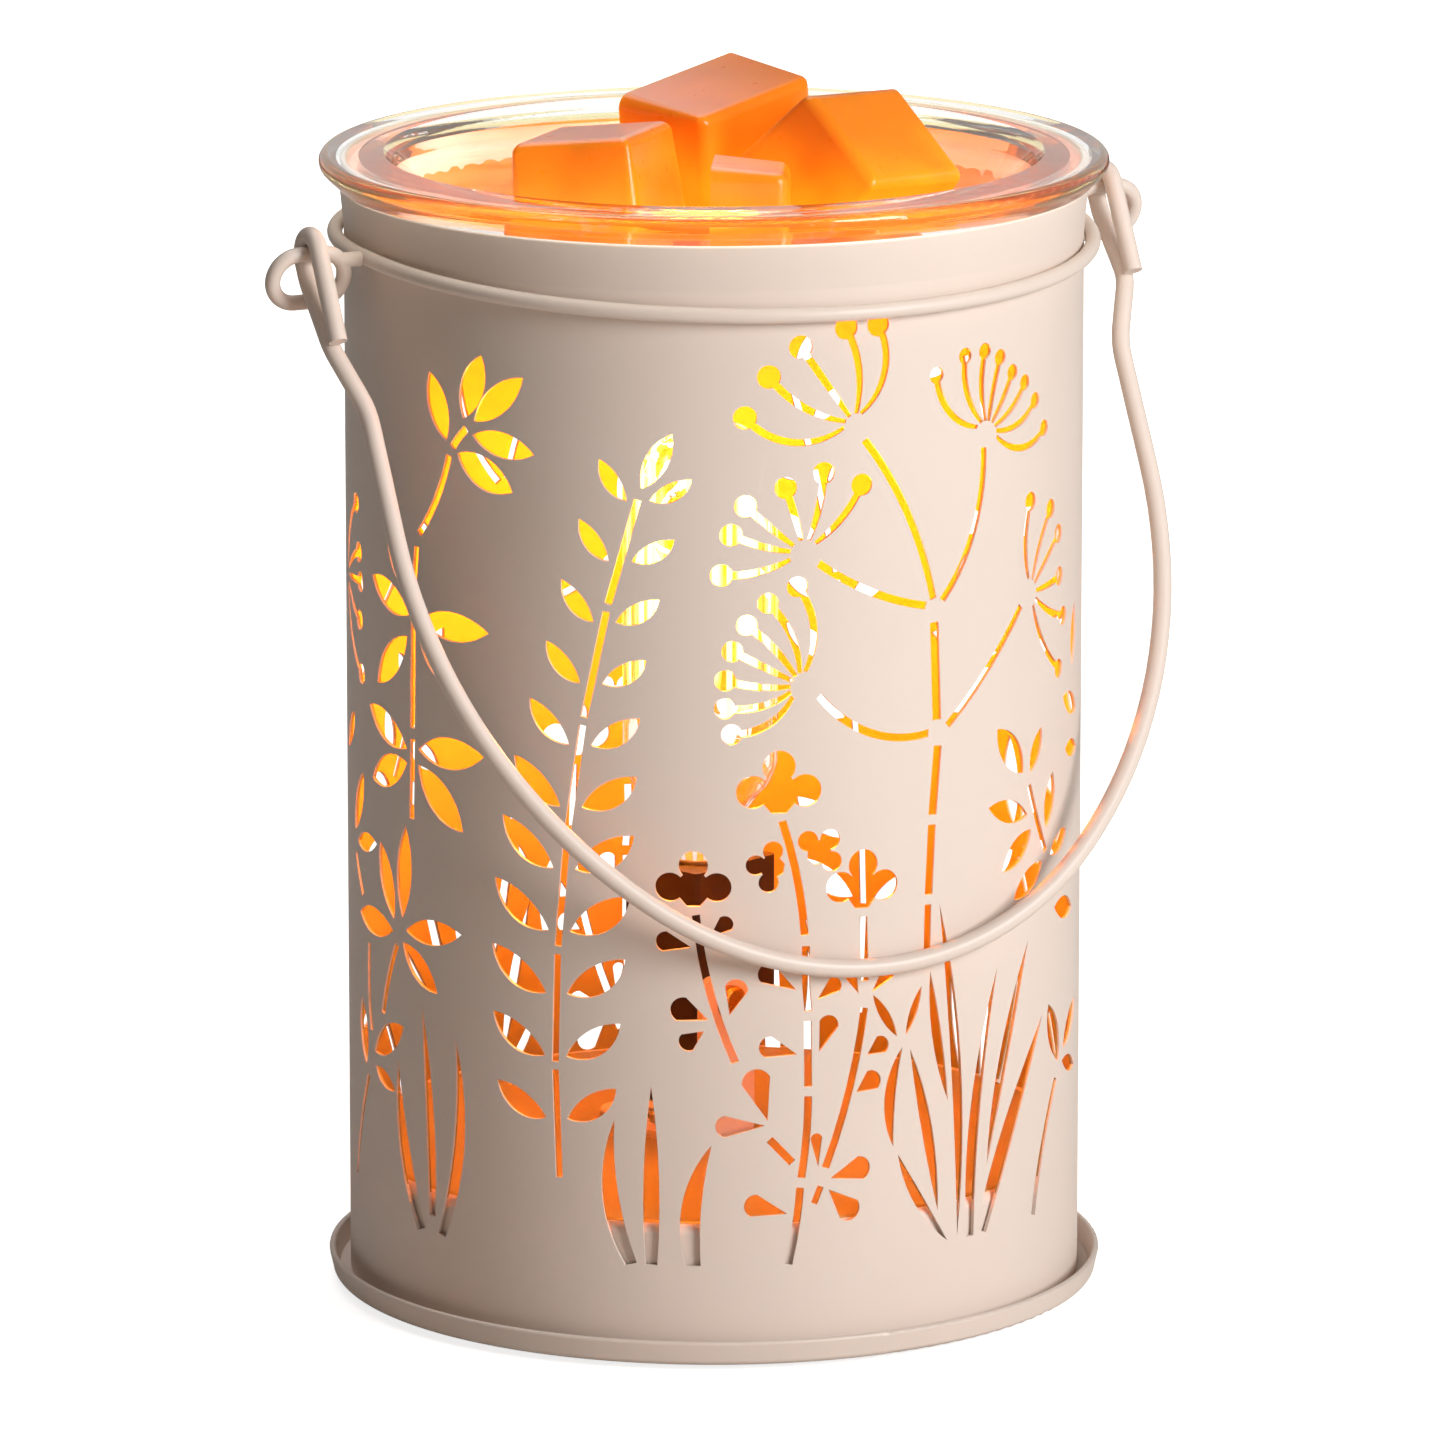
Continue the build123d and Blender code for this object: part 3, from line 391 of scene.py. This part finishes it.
@dataclass(frozen=True)
class DrawnLampGlass(Finish):
    """Clear tube drawn from the melt, with faint lengthwise ribs.

    Beside the filament each rib carries a painted glint of the filament's light, a blazing
    upright line too bright for its own colour, and the lines fade out above and below it. They
    are seen but light no dull surface: the lamp's own light does that.
    """

    name: str = "drawn_lamp_glass"
    tint: str = "#FBFDFC"
    ior: float = 1.5
    # colour and strength of the painted glints of the filament's light
    glow: str = "#FFD05C"
    strength: float = 9.0
    rib: float = 2.6
    rib_detail: float = 1.0
    rib_span: Span = (0.53, 0.69)
    rib_strength: float = 0.1
    rib_depth: float = 0.1
    stretch: Point = (1.0, 1.0, 0.02)
    low: float = 101.0
    high: float = 139.0
    fade: float = 7.0

    def material(self) -> bpy.types.Material:
        """Make the material, whose painted glints aren't counted as a lamp.

        Returns:
            The material.
        """
        material = super().material()
        material.cycles.emission_sampling = "NONE"
        return material

    def surface(self, tree: Tree, place: Socket) -> Socket:
        """Lay out the glass.

        Args:
            tree: the material's node tree.
            place: the point's place on the object.

        Returns:
            The shader.
        """
        drawn = add_node(tree, "ShaderNodeMapping", {"Scale": self.stretch}, {"Vector": place})
        ribs = add_node(tree, "ShaderNodeTexNoise",
                        {"Scale": per_mm(self.rib), "Detail": self.rib_detail},
                        {"Vector": drawn.outputs["Vector"]})
        bump = add_node(tree, "ShaderNodeBump",
                        {"Strength": self.rib_strength, "Distance": self.rib_depth * MM},
                        {"Height": ribs.outputs["Fac"]})
        path = add_node(tree, "ShaderNodeLightPath")
        # painted glints of the filament's light on the ribs
        emission_level = self.paint_rib_glints(tree, place, ribs.outputs["Fac"], path.outputs["Is Diffuse Ray"])
        glass = add_node(tree, "ShaderNodeBsdfPrincipled",
                         {"Base Color": linear(self.tint), "IOR": self.ior, "Roughness": 0.0,
                          "Transmission Weight": 1.0, "Emission Color": linear(self.glow)},
                         {"Normal": bump.outputs["Normal"], "Emission Strength": emission_level})
        clear = add_node(tree, "ShaderNodeBsdfTransparent", {"Color": linear(self.tint)})
        mixed = add_node(tree, "ShaderNodeMixShader", {},
                         {0: path.outputs["Is Shadow Ray"], 1: glass.outputs["BSDF"],
                          2: clear.outputs["BSDF"]})
        return mixed.outputs["Shader"]

    def paint_rib_glints(self, tree: Tree, place: Socket, ribs: Socket, dull: Socket) -> Socket:
        """Paint glints of the filament's light on the ribs beside it.

        Args:
            tree: the material's node tree.
            place: the point's place on the object.
            ribs: the rib pattern, from 0 to 1.
            dull: 1 for a ray that gathers light for a dull surface.

        Returns:
            The strength of the painted glints.
        """
        smooth = {"interpolation_type": "SMOOTHSTEP"}
        height = add_node(tree, "ShaderNodeSeparateXYZ", {}, {0: place}).outputs["Z"]
        line = add_node(tree, "ShaderNodeMapRange",
                        {**smooth, "From Min": self.rib_span[0], "From Max": self.rib_span[1]},
                        {"Value": ribs})
        foot = add_node(tree, "ShaderNodeMapRange",
                        {**smooth, "From Min": (self.low - self.fade) * MM,
                         "From Max": self.low * MM},
                        {"Value": height})
        head = add_node(tree, "ShaderNodeMapRange",
                        {**smooth, "From Min": (self.high + self.fade) * MM,
                         "From Max": self.high * MM},
                        {"Value": height})
        seen = add_node(tree, "ShaderNodeMapRange", {"To Min": self.strength, "To Max": 0.0},
                        {"Value": dull})
        lit = line.outputs["Result"]
        for part in (foot, head, seen):
            lit = add_node(tree, "ShaderNodeMath", {"operation": "MULTIPLY"},
                           {0: lit, 1: part.outputs["Result"]}).outputs[0]
        return lit


@dataclass(frozen=True)
class ScentedWax(Finish):
    """Soy and paraffin blend, cast in trays: waxy sheen over a translucent orange body.

    The lamp's light soaking up from below is painted as a glow, strongest at the foot of a
    cube, and the paler tops carry a painted pink sheen of the light from above, strongest at
    the left of the dish.
    """

    name: str = "cast_scented_wax"
    body: str = "#E87E14"
    # painted pink sheen of the light from above, laid on the faces that look up
    top: str = "#FFC4B8"
    top_span: Span = (0.8, 0.98)
    # the painted sheen is full at the dish's left and fades to a tenth at its right
    sheen_fade: float = 20.0
    sheen_share: Span = (1.0, 0.1)
    # painted glow of the lamp's light through the wax: colours and strength from foot to head
    glow: str = "#FFAA1A"
    dusk: str = "#F07010"
    low: float = 178.0
    high: float = 197.0
    strength: Span = (0.7, 0.08)
    ior: float = 1.44
    specular: float = 0.35
    roughness: Span = (0.22, 0.4)
    grain: float = 2.2
    grain_detail: float = 4.0
    grain_strength: float = 0.12
    grain_depth: float = 0.3
    cloud: float = 11.0
    cloud_detail: float = 1.0
    cloud_span: Span = (0.3, 0.7)
    cloud_share: Span = (0.65, 1.35)
    soaked: float = 0.5
    soaked_colours: Point = (1.0, 0.35, 0.1)
    soaked_depth: float = 9.0
    skin: float = 0.25
    skin_roughness: float = 0.14

    def surface(self, tree: Tree, place: Socket) -> Socket:
        """Lay out the wax.

        Args:
            tree: the material's node tree.
            place: the point's place on the object.

        Returns:
            The shader.
        """
        parts = add_node(tree, "ShaderNodeSeparateXYZ", {}, {0: place})
        rise = add_node(tree, "ShaderNodeMapRange",
                        {"From Min": self.low * MM, "From Max": self.high * MM},
                        {"Value": parts.outputs["Z"]})
        # painted glow: its colour from the cubes' foot to their head
        glow_colour = add_node(tree, "ShaderNodeMix",
                         {"data_type": "RGBA", MIX_FIRST: linear(self.glow),
                          MIX_SECOND: linear(self.dusk)},
                         {MIX_FACTOR: rise.outputs["Result"]})
        grain = add_node(tree, "ShaderNodeTexNoise",
                         {"Scale": per_mm(self.grain), "Detail": self.grain_detail},
                         {"Vector": place})
        bump = add_node(tree, "ShaderNodeBump",
                        {"Strength": self.grain_strength, "Distance": self.grain_depth * MM},
                        {"Height": grain.outputs["Fac"]})
        rough = add_node(tree, "ShaderNodeMapRange",
                         {"To Min": self.roughness[0], "To Max": self.roughness[1]},
                         {"Value": grain.outputs["Fac"]})
        shader = add_node(tree, "ShaderNodeBsdfPrincipled",
                          {"IOR": self.ior, "Specular IOR Level": self.specular,
                           "Subsurface Weight": self.soaked,
                           "Subsurface Radius": self.soaked_colours,
                           "Subsurface Scale": self.soaked_depth * MM,
                           "Coat Weight": self.skin, "Coat Roughness": self.skin_roughness},
                          {"Base Color": self.sheened_tops(tree, parts.outputs["X"]),
                           "Roughness": rough.outputs["Result"],
                           "Normal": bump.outputs["Normal"],
                           "Emission Color": glow_colour.outputs[MIX_RESULT],
                           "Emission Strength": self.lit(tree, place, rise.outputs["Result"])})
        return shader.outputs["BSDF"]

    def sheened_tops(self, tree: Tree, across: Socket) -> Socket:
        """Lay a painted pink sheen on the tops, strongest at the left of the dish.

        Args:
            tree: the material's node tree.
            across: how far the point lies to the right of the dish's middle.

        Returns:
            The wax's colour.
        """
        normal = add_node(tree, "ShaderNodeNewGeometry").outputs["Normal"]
        up = add_node(tree, "ShaderNodeSeparateXYZ", {}, {0: normal})
        # painted sheen on the faces that look up
        top_sheen = add_node(tree, "ShaderNodeMapRange",
                         {"From Min": self.top_span[0], "From Max": self.top_span[1]},
                         {"Value": up.outputs["Z"]})
        # the painted sheen fades from the dish's left to its right
        leftward = add_node(tree, "ShaderNodeMapRange",
                        {"From Min": -self.sheen_fade * MM, "From Max": self.sheen_fade * MM,
                         "To Min": self.sheen_share[0], "To Max": self.sheen_share[1]},
                        {"Value": across})
        pale = add_node(tree, "ShaderNodeMath", {"operation": "MULTIPLY"},
                        {0: top_sheen.outputs["Result"], 1: leftward.outputs["Result"]})
        tint = add_node(tree, "ShaderNodeMix",
                        {"data_type": "RGBA", MIX_FIRST: linear(self.body),
                         MIX_SECOND: linear(self.top)},
                        {MIX_FACTOR: pale.outputs[0]})
        return tint.outputs[MIX_RESULT]

    def lit(self, tree: Tree, place: Socket, rise: Socket) -> Socket:
        """Paint the lamp's light as a glow that fades upwards through the cloudy wax.

        Args:
            tree: the material's node tree.
            place: the point's place on the object.
            rise: 0 at the cubes' foot, 1 at their head.

        Returns:
            The strength of the painted glow.
        """
        strength = add_node(tree, "ShaderNodeMapRange",
                            {"To Min": self.strength[0], "To Max": self.strength[1]},
                            {"Value": rise})
        cloud = add_node(tree, "ShaderNodeTexNoise",
                         {"Scale": per_mm(self.cloud), "Detail": self.cloud_detail},
                         {"Vector": place})
        uneven = add_node(tree, "ShaderNodeMapRange",
                          {"From Min": self.cloud_span[0], "From Max": self.cloud_span[1],
                           "To Min": self.cloud_share[0], "To Max": self.cloud_share[1]},
                          {"Value": cloud.outputs["Fac"]})
        glow_level = add_node(tree, "ShaderNodeMath", {"operation": "MULTIPLY"},
                         {0: strength.outputs["Result"], 1: uneven.outputs["Result"]})
        return glow_level.outputs[0]


@dataclass(frozen=True)
class MeltedWax(Finish):
    """Wax that has melted into the bowl: level, glossy and deep orange.

    The lamp's light shining up through it is painted as a glow that swirls unevenly.
    """

    name: str = "molten_scented_wax"
    colour: str = "#EC7C14"
    # painted glow of the lamp's light through the melt
    glow: str = "#FFAA14"
    strength: Span = (0.195, 0.325)
    ior: float = 1.44
    specular: float = 0.04
    roughness: float = 0.16
    swirl: float = 16.0
    swirl_detail: float = 2.0
    swirl_twist: float = 0.8
    soaked: float = 0.3
    soaked_colours: Point = (1.0, 0.4, 0.1)
    soaked_depth: float = 6.0

    def surface(self, tree: Tree, place: Socket) -> Socket:
        """Lay out the melt.

        Args:
            tree: the material's node tree.
            place: the point's place on the object.

        Returns:
            The shader.
        """
        # the painted glow swirls unevenly
        swirl = add_node(tree, "ShaderNodeTexNoise",
                         {"Scale": per_mm(self.swirl), "Detail": self.swirl_detail,
                          "Distortion": self.swirl_twist},
                         {"Vector": place})
        glow_level = add_node(tree, "ShaderNodeMapRange",
                         {"To Min": self.strength[0], "To Max": self.strength[1]},
                         {"Value": swirl.outputs["Fac"]})
        shader = add_node(tree, "ShaderNodeBsdfPrincipled",
                          {"Base Color": linear(self.colour), "IOR": self.ior,
                           "Roughness": self.roughness, "Specular IOR Level": self.specular,
                           "Subsurface Weight": self.soaked,
                           "Subsurface Radius": self.soaked_colours,
                           "Subsurface Scale": self.soaked_depth * MM,
                           "Emission Color": linear(self.glow)},
                          {"Emission Strength": glow_level.outputs["Result"]})
        return shader.outputs["BSDF"]


@dataclass(frozen=True)
class BareMetal(Finish):
    """Drawn, plated or turned metal: bright, with the fine lines that its making leaves.

    The real lines are too fine to show, so they are drawn a few times as coarse.
    """

    colour: str
    roughness: float = 0.3
    rough_share: Span = (0.8, 1.25)
    line: float = 0.6
    line_detail: float = 2.0
    line_strength: float = 0.15
    line_depth: float = 0.05
    stretch: Point = (1.0, 1.0, 8.0)

    def surface(self, tree: Tree, place: Socket) -> Socket:
        """Lay out the metal.

        Args:
            tree: the material's node tree.
            place: the point's place on the object.

        Returns:
            The shader.
        """
        laid = add_node(tree, "ShaderNodeMapping", {"Scale": self.stretch}, {"Vector": place})
        lines = add_node(tree, "ShaderNodeTexNoise",
                         {"Scale": per_mm(self.line), "Detail": self.line_detail},
                         {"Vector": laid.outputs["Vector"]})
        bump = add_node(tree, "ShaderNodeBump",
                        {"Strength": self.line_strength, "Distance": self.line_depth * MM},
                        {"Height": lines.outputs["Fac"]})
        rough = add_node(tree, "ShaderNodeMapRange",
                         {"To Min": self.roughness * self.rough_share[0],
                          "To Max": self.roughness * self.rough_share[1]},
                         {"Value": lines.outputs["Fac"]})
        shader = add_node(tree, "ShaderNodeBsdfPrincipled",
                          {"Base Color": linear(self.colour), "Metallic": 1.0},
                          {"Roughness": rough.outputs["Result"],
                           "Normal": bump.outputs["Normal"]})
        return shader.outputs["BSDF"]


@dataclass(frozen=True)
class MouldedPlastic(Finish):
    """Moulded phenolic, nylon, rubber or silicone: a fine spark-eroded grain, a dull sheen.

    The real grain is too fine to show, so it is drawn a few times as coarse.
    """

    colour: str
    roughness: float = 0.5
    rough_less: float = 0.05
    rough_more: float = 0.08
    ior: float = 1.5
    grain: float = 0.7
    grain_strength: float = 0.12
    grain_depth: float = 0.05

    def surface(self, tree: Tree, place: Socket) -> Socket:
        """Lay out the moulding.

        Args:
            tree: the material's node tree.
            place: the point's place on the object.

        Returns:
            The shader.
        """
        grain = add_node(tree, "ShaderNodeTexVoronoi", {"Scale": per_mm(self.grain)},
                         {"Vector": place})
        bump = add_node(tree, "ShaderNodeBump",
                        {"Strength": self.grain_strength, "Distance": self.grain_depth * MM},
                        {"Height": grain.outputs["Distance"]})
        rough = add_node(tree, "ShaderNodeMapRange",
                         {"To Min": self.roughness - self.rough_less,
                          "To Max": self.roughness + self.rough_more},
                         {"Value": grain.outputs["Distance"]})
        shader = add_node(tree, "ShaderNodeBsdfPrincipled",
                          {"Base Color": linear(self.colour), "IOR": self.ior},
                          {"Roughness": rough.outputs["Result"],
                           "Normal": bump.outputs["Normal"]})
        return shader.outputs["BSDF"]


@dataclass(frozen=True)
class GlowingTungsten(Finish):
    """Coiled tungsten at 2700 K: too bright for any surface detail but its coiling.

    The real coil's pitch is too fine to show, so it is drawn about ten times as coarse.
    Strength is for the gaps between the coil's turns and for the turns themselves.
    """

    name: str = "glowing_tungsten"
    colour: str = "#3A3632"
    glow: str = "#FFB53C"
    strength: Span = (21.0, 30.0)
    roughness: float = 0.6
    pitch: float = math.pi

    def surface(self, tree: Tree, place: Socket) -> Socket:
        """Lay out the filament.

        Args:
            tree: the material's node tree.
            place: the point's place on the object.

        Returns:
            The shader.
        """
        coil = add_node(tree, "ShaderNodeTexWave",
                        {"bands_direction": "Z",
                         "Scale": math.tau * per_mm(self.pitch) / WAVE_RATE},
                        {"Vector": place})
        emission_level = add_node(tree, "ShaderNodeMapRange",
                        {"To Min": self.strength[0], "To Max": self.strength[1]},
                        {"Value": coil.outputs["Fac"]})
        shader = add_node(tree, "ShaderNodeBsdfPrincipled",
                          {"Base Color": linear(self.colour), "Roughness": self.roughness,
                           "Emission Color": linear(self.glow)},
                          {"Emission Strength": emission_level.outputs["Result"]})
        return shader.outputs["BSDF"]


@dataclass(frozen=True)
class StudioFloor(Finish):
    """Matt pale paint: it shows white to the eye and through glass, and keeps the shadow.

    The white grows away from the object, until the floor is as white as the surroundings. The
    two distances between which it grows are in metres.
    """

    name: str = "studio_floor"
    colour: str = "#D4CFC9"
    shown: Span = (0.8, 1.0)
    near: float = 0.25
    far: float = 0.8

    def surface(self, tree: Tree, place: Socket) -> Socket:
        """Lay out the paint.

        Args:
            tree: the material's node tree.
            place: the point's place on the floor.

        Returns:
            The shader.
        """
        path = add_node(tree, "ShaderNodeLightPath")
        direct = add_node(tree, "ShaderNodeMath", {"operation": "MAXIMUM"},
                          {0: path.outputs["Is Camera Ray"],
                           1: path.outputs["Is Transmission Ray"]})
        away = add_node(tree, "ShaderNodeVectorMath", {"operation": "LENGTH"}, {0: place})
        sweep = add_node(tree, "ShaderNodeMapRange",
                         {"interpolation_type": "SMOOTHSTEP",
                          "From Min": self.near, "From Max": self.far,
                          "To Min": self.shown[0], "To Max": self.shown[1]},
                         {"Value": away.outputs["Value"]})
        seen = add_node(tree, "ShaderNodeMath", {"operation": "MULTIPLY"},
                        {0: direct.outputs[0], 1: sweep.outputs["Result"]})
        paint = add_node(tree, "ShaderNodeBsdfDiffuse", {"Color": linear(self.colour)})
        lift = add_node(tree, "ShaderNodeEmission", {"Color": WHITE},
                        {"Strength": seen.outputs[0]})
        both = add_node(tree, "ShaderNodeAddShader", {},
                        {0: paint.outputs["BSDF"], 1: lift.outputs["Emission"]})
        return both.outputs["Shader"]


# ------------------------------------------------------------------ sub-assemblies
@dataclass
class PiercedLantern:
    """The painted metalwork: sleeve, pan, inner base, bracket, neck ring, ears and handle."""

    coat: Finish = field(default_factory=PowderCoatedSteel)
    # the coat with the lamp's light and shade painted on inside the sleeve
    lamp_lit_coat: Finish = field(default_factory=LampLightPaintedCoat)
    outer: tuple[str, ...] = ("neck_ring", "ear_right", "ear_left", "base_pan",
                              "socket_bracket", "bail_handle")
    round_lamp: tuple[str, ...] = ("body_sleeve", "inner_base")

    def build(self) -> None:
        """Dress the metalwork in one coat; inside the sleeve, lamp light and shade are painted
        on.
        """
        dress(self.outer, self.coat.material())
        dress(self.round_lamp, self.lamp_lit_coat.material())


@dataclass
class Lamp:
    """The tubular lamp, its holder, and what holds and feeds them.

    The light's power is in watts and its size in millimetres.
    """

    finishes: tuple[tuple[Finish, tuple[str, ...]], ...] = (
        (DrawnLampGlass(), ("lamp_glass",)),
        # drawn and pinched hot, which leaves fainter flow marks than pressing does
        (ClearGlass("pinched_stem_glass", ring_strength=0.1), ("lamp_stem",)),
        (GlowingTungsten(), ("lamp_filament",)),
        # pale grey plate, dulled a little by its passivation
        (BareMetal("zinc_plated_steel", "#B9B9B4", 0.34),
         ("lamp_leads", "standoffs", "base_screws", "foot_screws", "foot_nuts")),
        # bright and neutral, straight from the spinning lathe
        (BareMetal("spun_aluminium_cap", "#C9CACA", 0.3), ("lamp_cap",)),
        # warm yellow, the brightest of the metals
        (BareMetal("turned_brass", "#C79A4B", 0.28),
         ("lamp_tip", "holder_shell", "holder_contact", "bracket_screw", "terminal_screws")),
        # near-black brown that takes a low gloss from the mould
        (MouldedPlastic("moulded_phenolic", "#22130C", 0.38), ("lampholder",)),
        # dark, limp and dull
        (MouldedPlastic("silicone_insulation", "#2B211C", 0.55), ("lead_live", "lead_neutral")),
        # coloured to go with the coat
        (MouldedPlastic("moulded_nylon", "#C9B6A4", 0.5),
         ("lead_bushing", "inlet_bushing", "terminal_block")),
        # black and quite matt, with a coarser grain that grips
        (MouldedPlastic("moulded_rubber", "#1B1B1A", 0.8, grain=1.2), ("rubber_feet",)),
    )
    power: float = 0.4
    colour: str = "#FF8400"
    size: float = 9.0

    def build(self) -> None:
        """Dress the lamp and light it."""
        for finish, names in self.finishes:
            dress(names, finish.material())
        self.light()

    def light(self) -> None:
        """Put the lamp's own light at the middle of its filament."""
        low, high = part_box("lamp_filament")
        data = bpy.data.lights.new("lamp_light", "POINT")
        data.energy, data.color = self.power, linear(self.colour)[:3]
        data.shadow_soft_size = self.size * MM
        lamp = bpy.data.objects.new("lamp_light", data)
        lamp.location = [(a + b) / 2 for a, b in zip(low, high)]
        bpy.context.scene.collection.objects.link(lamp)
        log.info("lamp light: %.1f W", self.power)


@dataclass
class WaxDish:
    """The pressed-glass dish with its wax."""

    glass: Finish = field(default_factory=PressedDishGlass)
    cubes: Finish = field(default_factory=ScentedWax)
    melt: Finish = field(default_factory=MeltedWax)

    def build(self) -> None:
        """Dress the dish, the cubes and the melted wax."""
        dress(("glass_dish",), self.glass.material())
        dress(("wax_melts",), self.cubes.material())
        dress(("wax_pool",), self.melt.material())


class Softbox(Enum):
    """Studio lamps: place and size in metres, power in watts, and colour.

    The one behind lights without a glint.
    """

    KEY = ((0.57, -1.29, 0.66), 0.8, 24.5, "#F8FCFF")
    FILL = ((-1.3, -0.5, 0.5), 0.8, 0.1, "#FFE6D2")
    LOW = ((-0.27, -0.54, 0.06), 0.2, 0.28, "#FFE0C8")
    BACK = ((0.5, 1.05, 0.55), 0.8, 3.0, "#FFFFFF")
    TOP = ((-0.1, 0.3, 1.4), 0.8, 6.5, "#FFFFFF")


@dataclass
class Studio:
    """Pale floor, white surroundings, soft lamps and the camera.

    Lengths are in metres, angles in degrees, the lens in millimetres and the shift in pixels.
    """

    floor: Finish = field(default_factory=StudioFloor)
    reach: float = 3.0
    ambient: float = 0.032
    reflected: float = 0.11
    sharp: float = 0.7
    target: Point = (0.0, 0.0, 0.091)
    distance: float = 1.9
    azimuth: float = -26.0
    elevation: float = 12.62
    lens: float = 290.25
    shift: tuple[int, int] = (6, 12)
    clip_end: float = 20.0

    def build(self) -> None:
        """Lay the floor and set the lights and the camera."""
        self.lay_floor()
        self.light_world()
        self.hang_lamps()
        self.set_camera()

    def lay_floor(self) -> None:
        """Lay a plain square floor round the object."""
        r = self.reach
        mesh = bpy.data.meshes.new("studio_floor")
        mesh.from_pydata([(-r, -r, 0), (r, -r, 0), (r, r, 0), (-r, r, 0)], [], [(0, 1, 2, 3)])
        mesh.materials.append(self.floor.material())
        floor = bpy.data.objects.new("studio_floor", mesh)
        bpy.context.scene.collection.objects.link(floor)

    def light_world(self) -> None:
        """Fill the surroundings: white where they are seen, dim where they light.

        Polished surfaces mirror them brightly and satin ones dimly.
        """
        world = bpy.data.worlds.new("studio")
        bpy.context.scene.world = world
        world.use_nodes = True
        tree = world.node_tree
        tree.nodes.clear()
        path = add_node(tree, "ShaderNodeLightPath")
        most = path.outputs["Is Camera Ray"]
        for ray, share in (("Is Transmission Ray", 1.0), ("Is Glossy Ray", self.reflected),
                           ("Is Singular Ray", self.sharp)):
            level = add_node(tree, "ShaderNodeMath", {"operation": "MULTIPLY", 1: share},
                             {0: path.outputs[ray]})
            most = add_node(tree, "ShaderNodeMath", {"operation": "MAXIMUM"},
                            {0: most, 1: level.outputs[0]}).outputs[0]
        strength = add_node(tree, "ShaderNodeMapRange", {"To Min": self.ambient, "To Max": 1.0},
                            {"Value": most})
        back = add_node(tree, "ShaderNodeBackground", {"Color": WHITE},
                        {"Strength": strength.outputs["Result"]})
        add_node(tree, "ShaderNodeOutputWorld", {}, {"Surface": back.outputs["Background"]})

    def hang_lamps(self) -> None:
        """Hang the soft lamps, each aimed at the middle of the lantern."""
        middle = Vector(self.target)
        for box in Softbox:
            place, size, power, colour = box.value
            data = bpy.data.lights.new(box.name.lower(), "AREA")
            data.shape, data.size = "DISK", size
            data.energy, data.color = power, linear(colour)[:3]
            lamp = bpy.data.objects.new(box.name.lower(), data)
            lamp.location = place
            lamp.rotation_euler = (middle - Vector(place)).to_track_quat("-Z", "Y").to_euler()
            lamp.visible_glossy = lamp.visible_transmission = box is not Softbox.BACK
            bpy.context.scene.collection.objects.link(lamp)
            log.info("%s lamp: %.2f W", lamp.name, power)

    def set_camera(self) -> None:
        """Set the camera at its angle and distance."""
        turn, rise = math.radians(self.azimuth), math.radians(self.elevation)
        back = Vector((math.sin(turn) * math.cos(rise), -math.cos(turn) * math.cos(rise),
                       math.sin(rise)))
        data = bpy.data.cameras.new("camera")
        data.lens, data.sensor_width = self.lens, FILM_WIDTH
        data.shift_x, data.shift_y = (pixels / PICTURE_SIDE for pixels in self.shift)
        data.clip_end = self.clip_end
        camera = bpy.data.objects.new("camera", data)
        camera.location = Vector(self.target) + back * self.distance
        camera.rotation_euler = (-back).to_track_quat("-Z", "Y").to_euler()
        bpy.context.scene.collection.objects.link(camera)
        bpy.context.scene.camera = camera


def main() -> None:
    """Build the scene: the object's sub-assemblies in order, then the studio."""
    logging.basicConfig(level=logging.INFO, format="%(message)s")
    bpy.context.scene.view_settings.view_transform = "Standard"
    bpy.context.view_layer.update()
    for part in (PiercedLantern(), Lamp(), WaxDish(), Studio()):
        part.build()
        log.info("built %s", type(part).__name__)


if __name__ == "__main__":
    main()
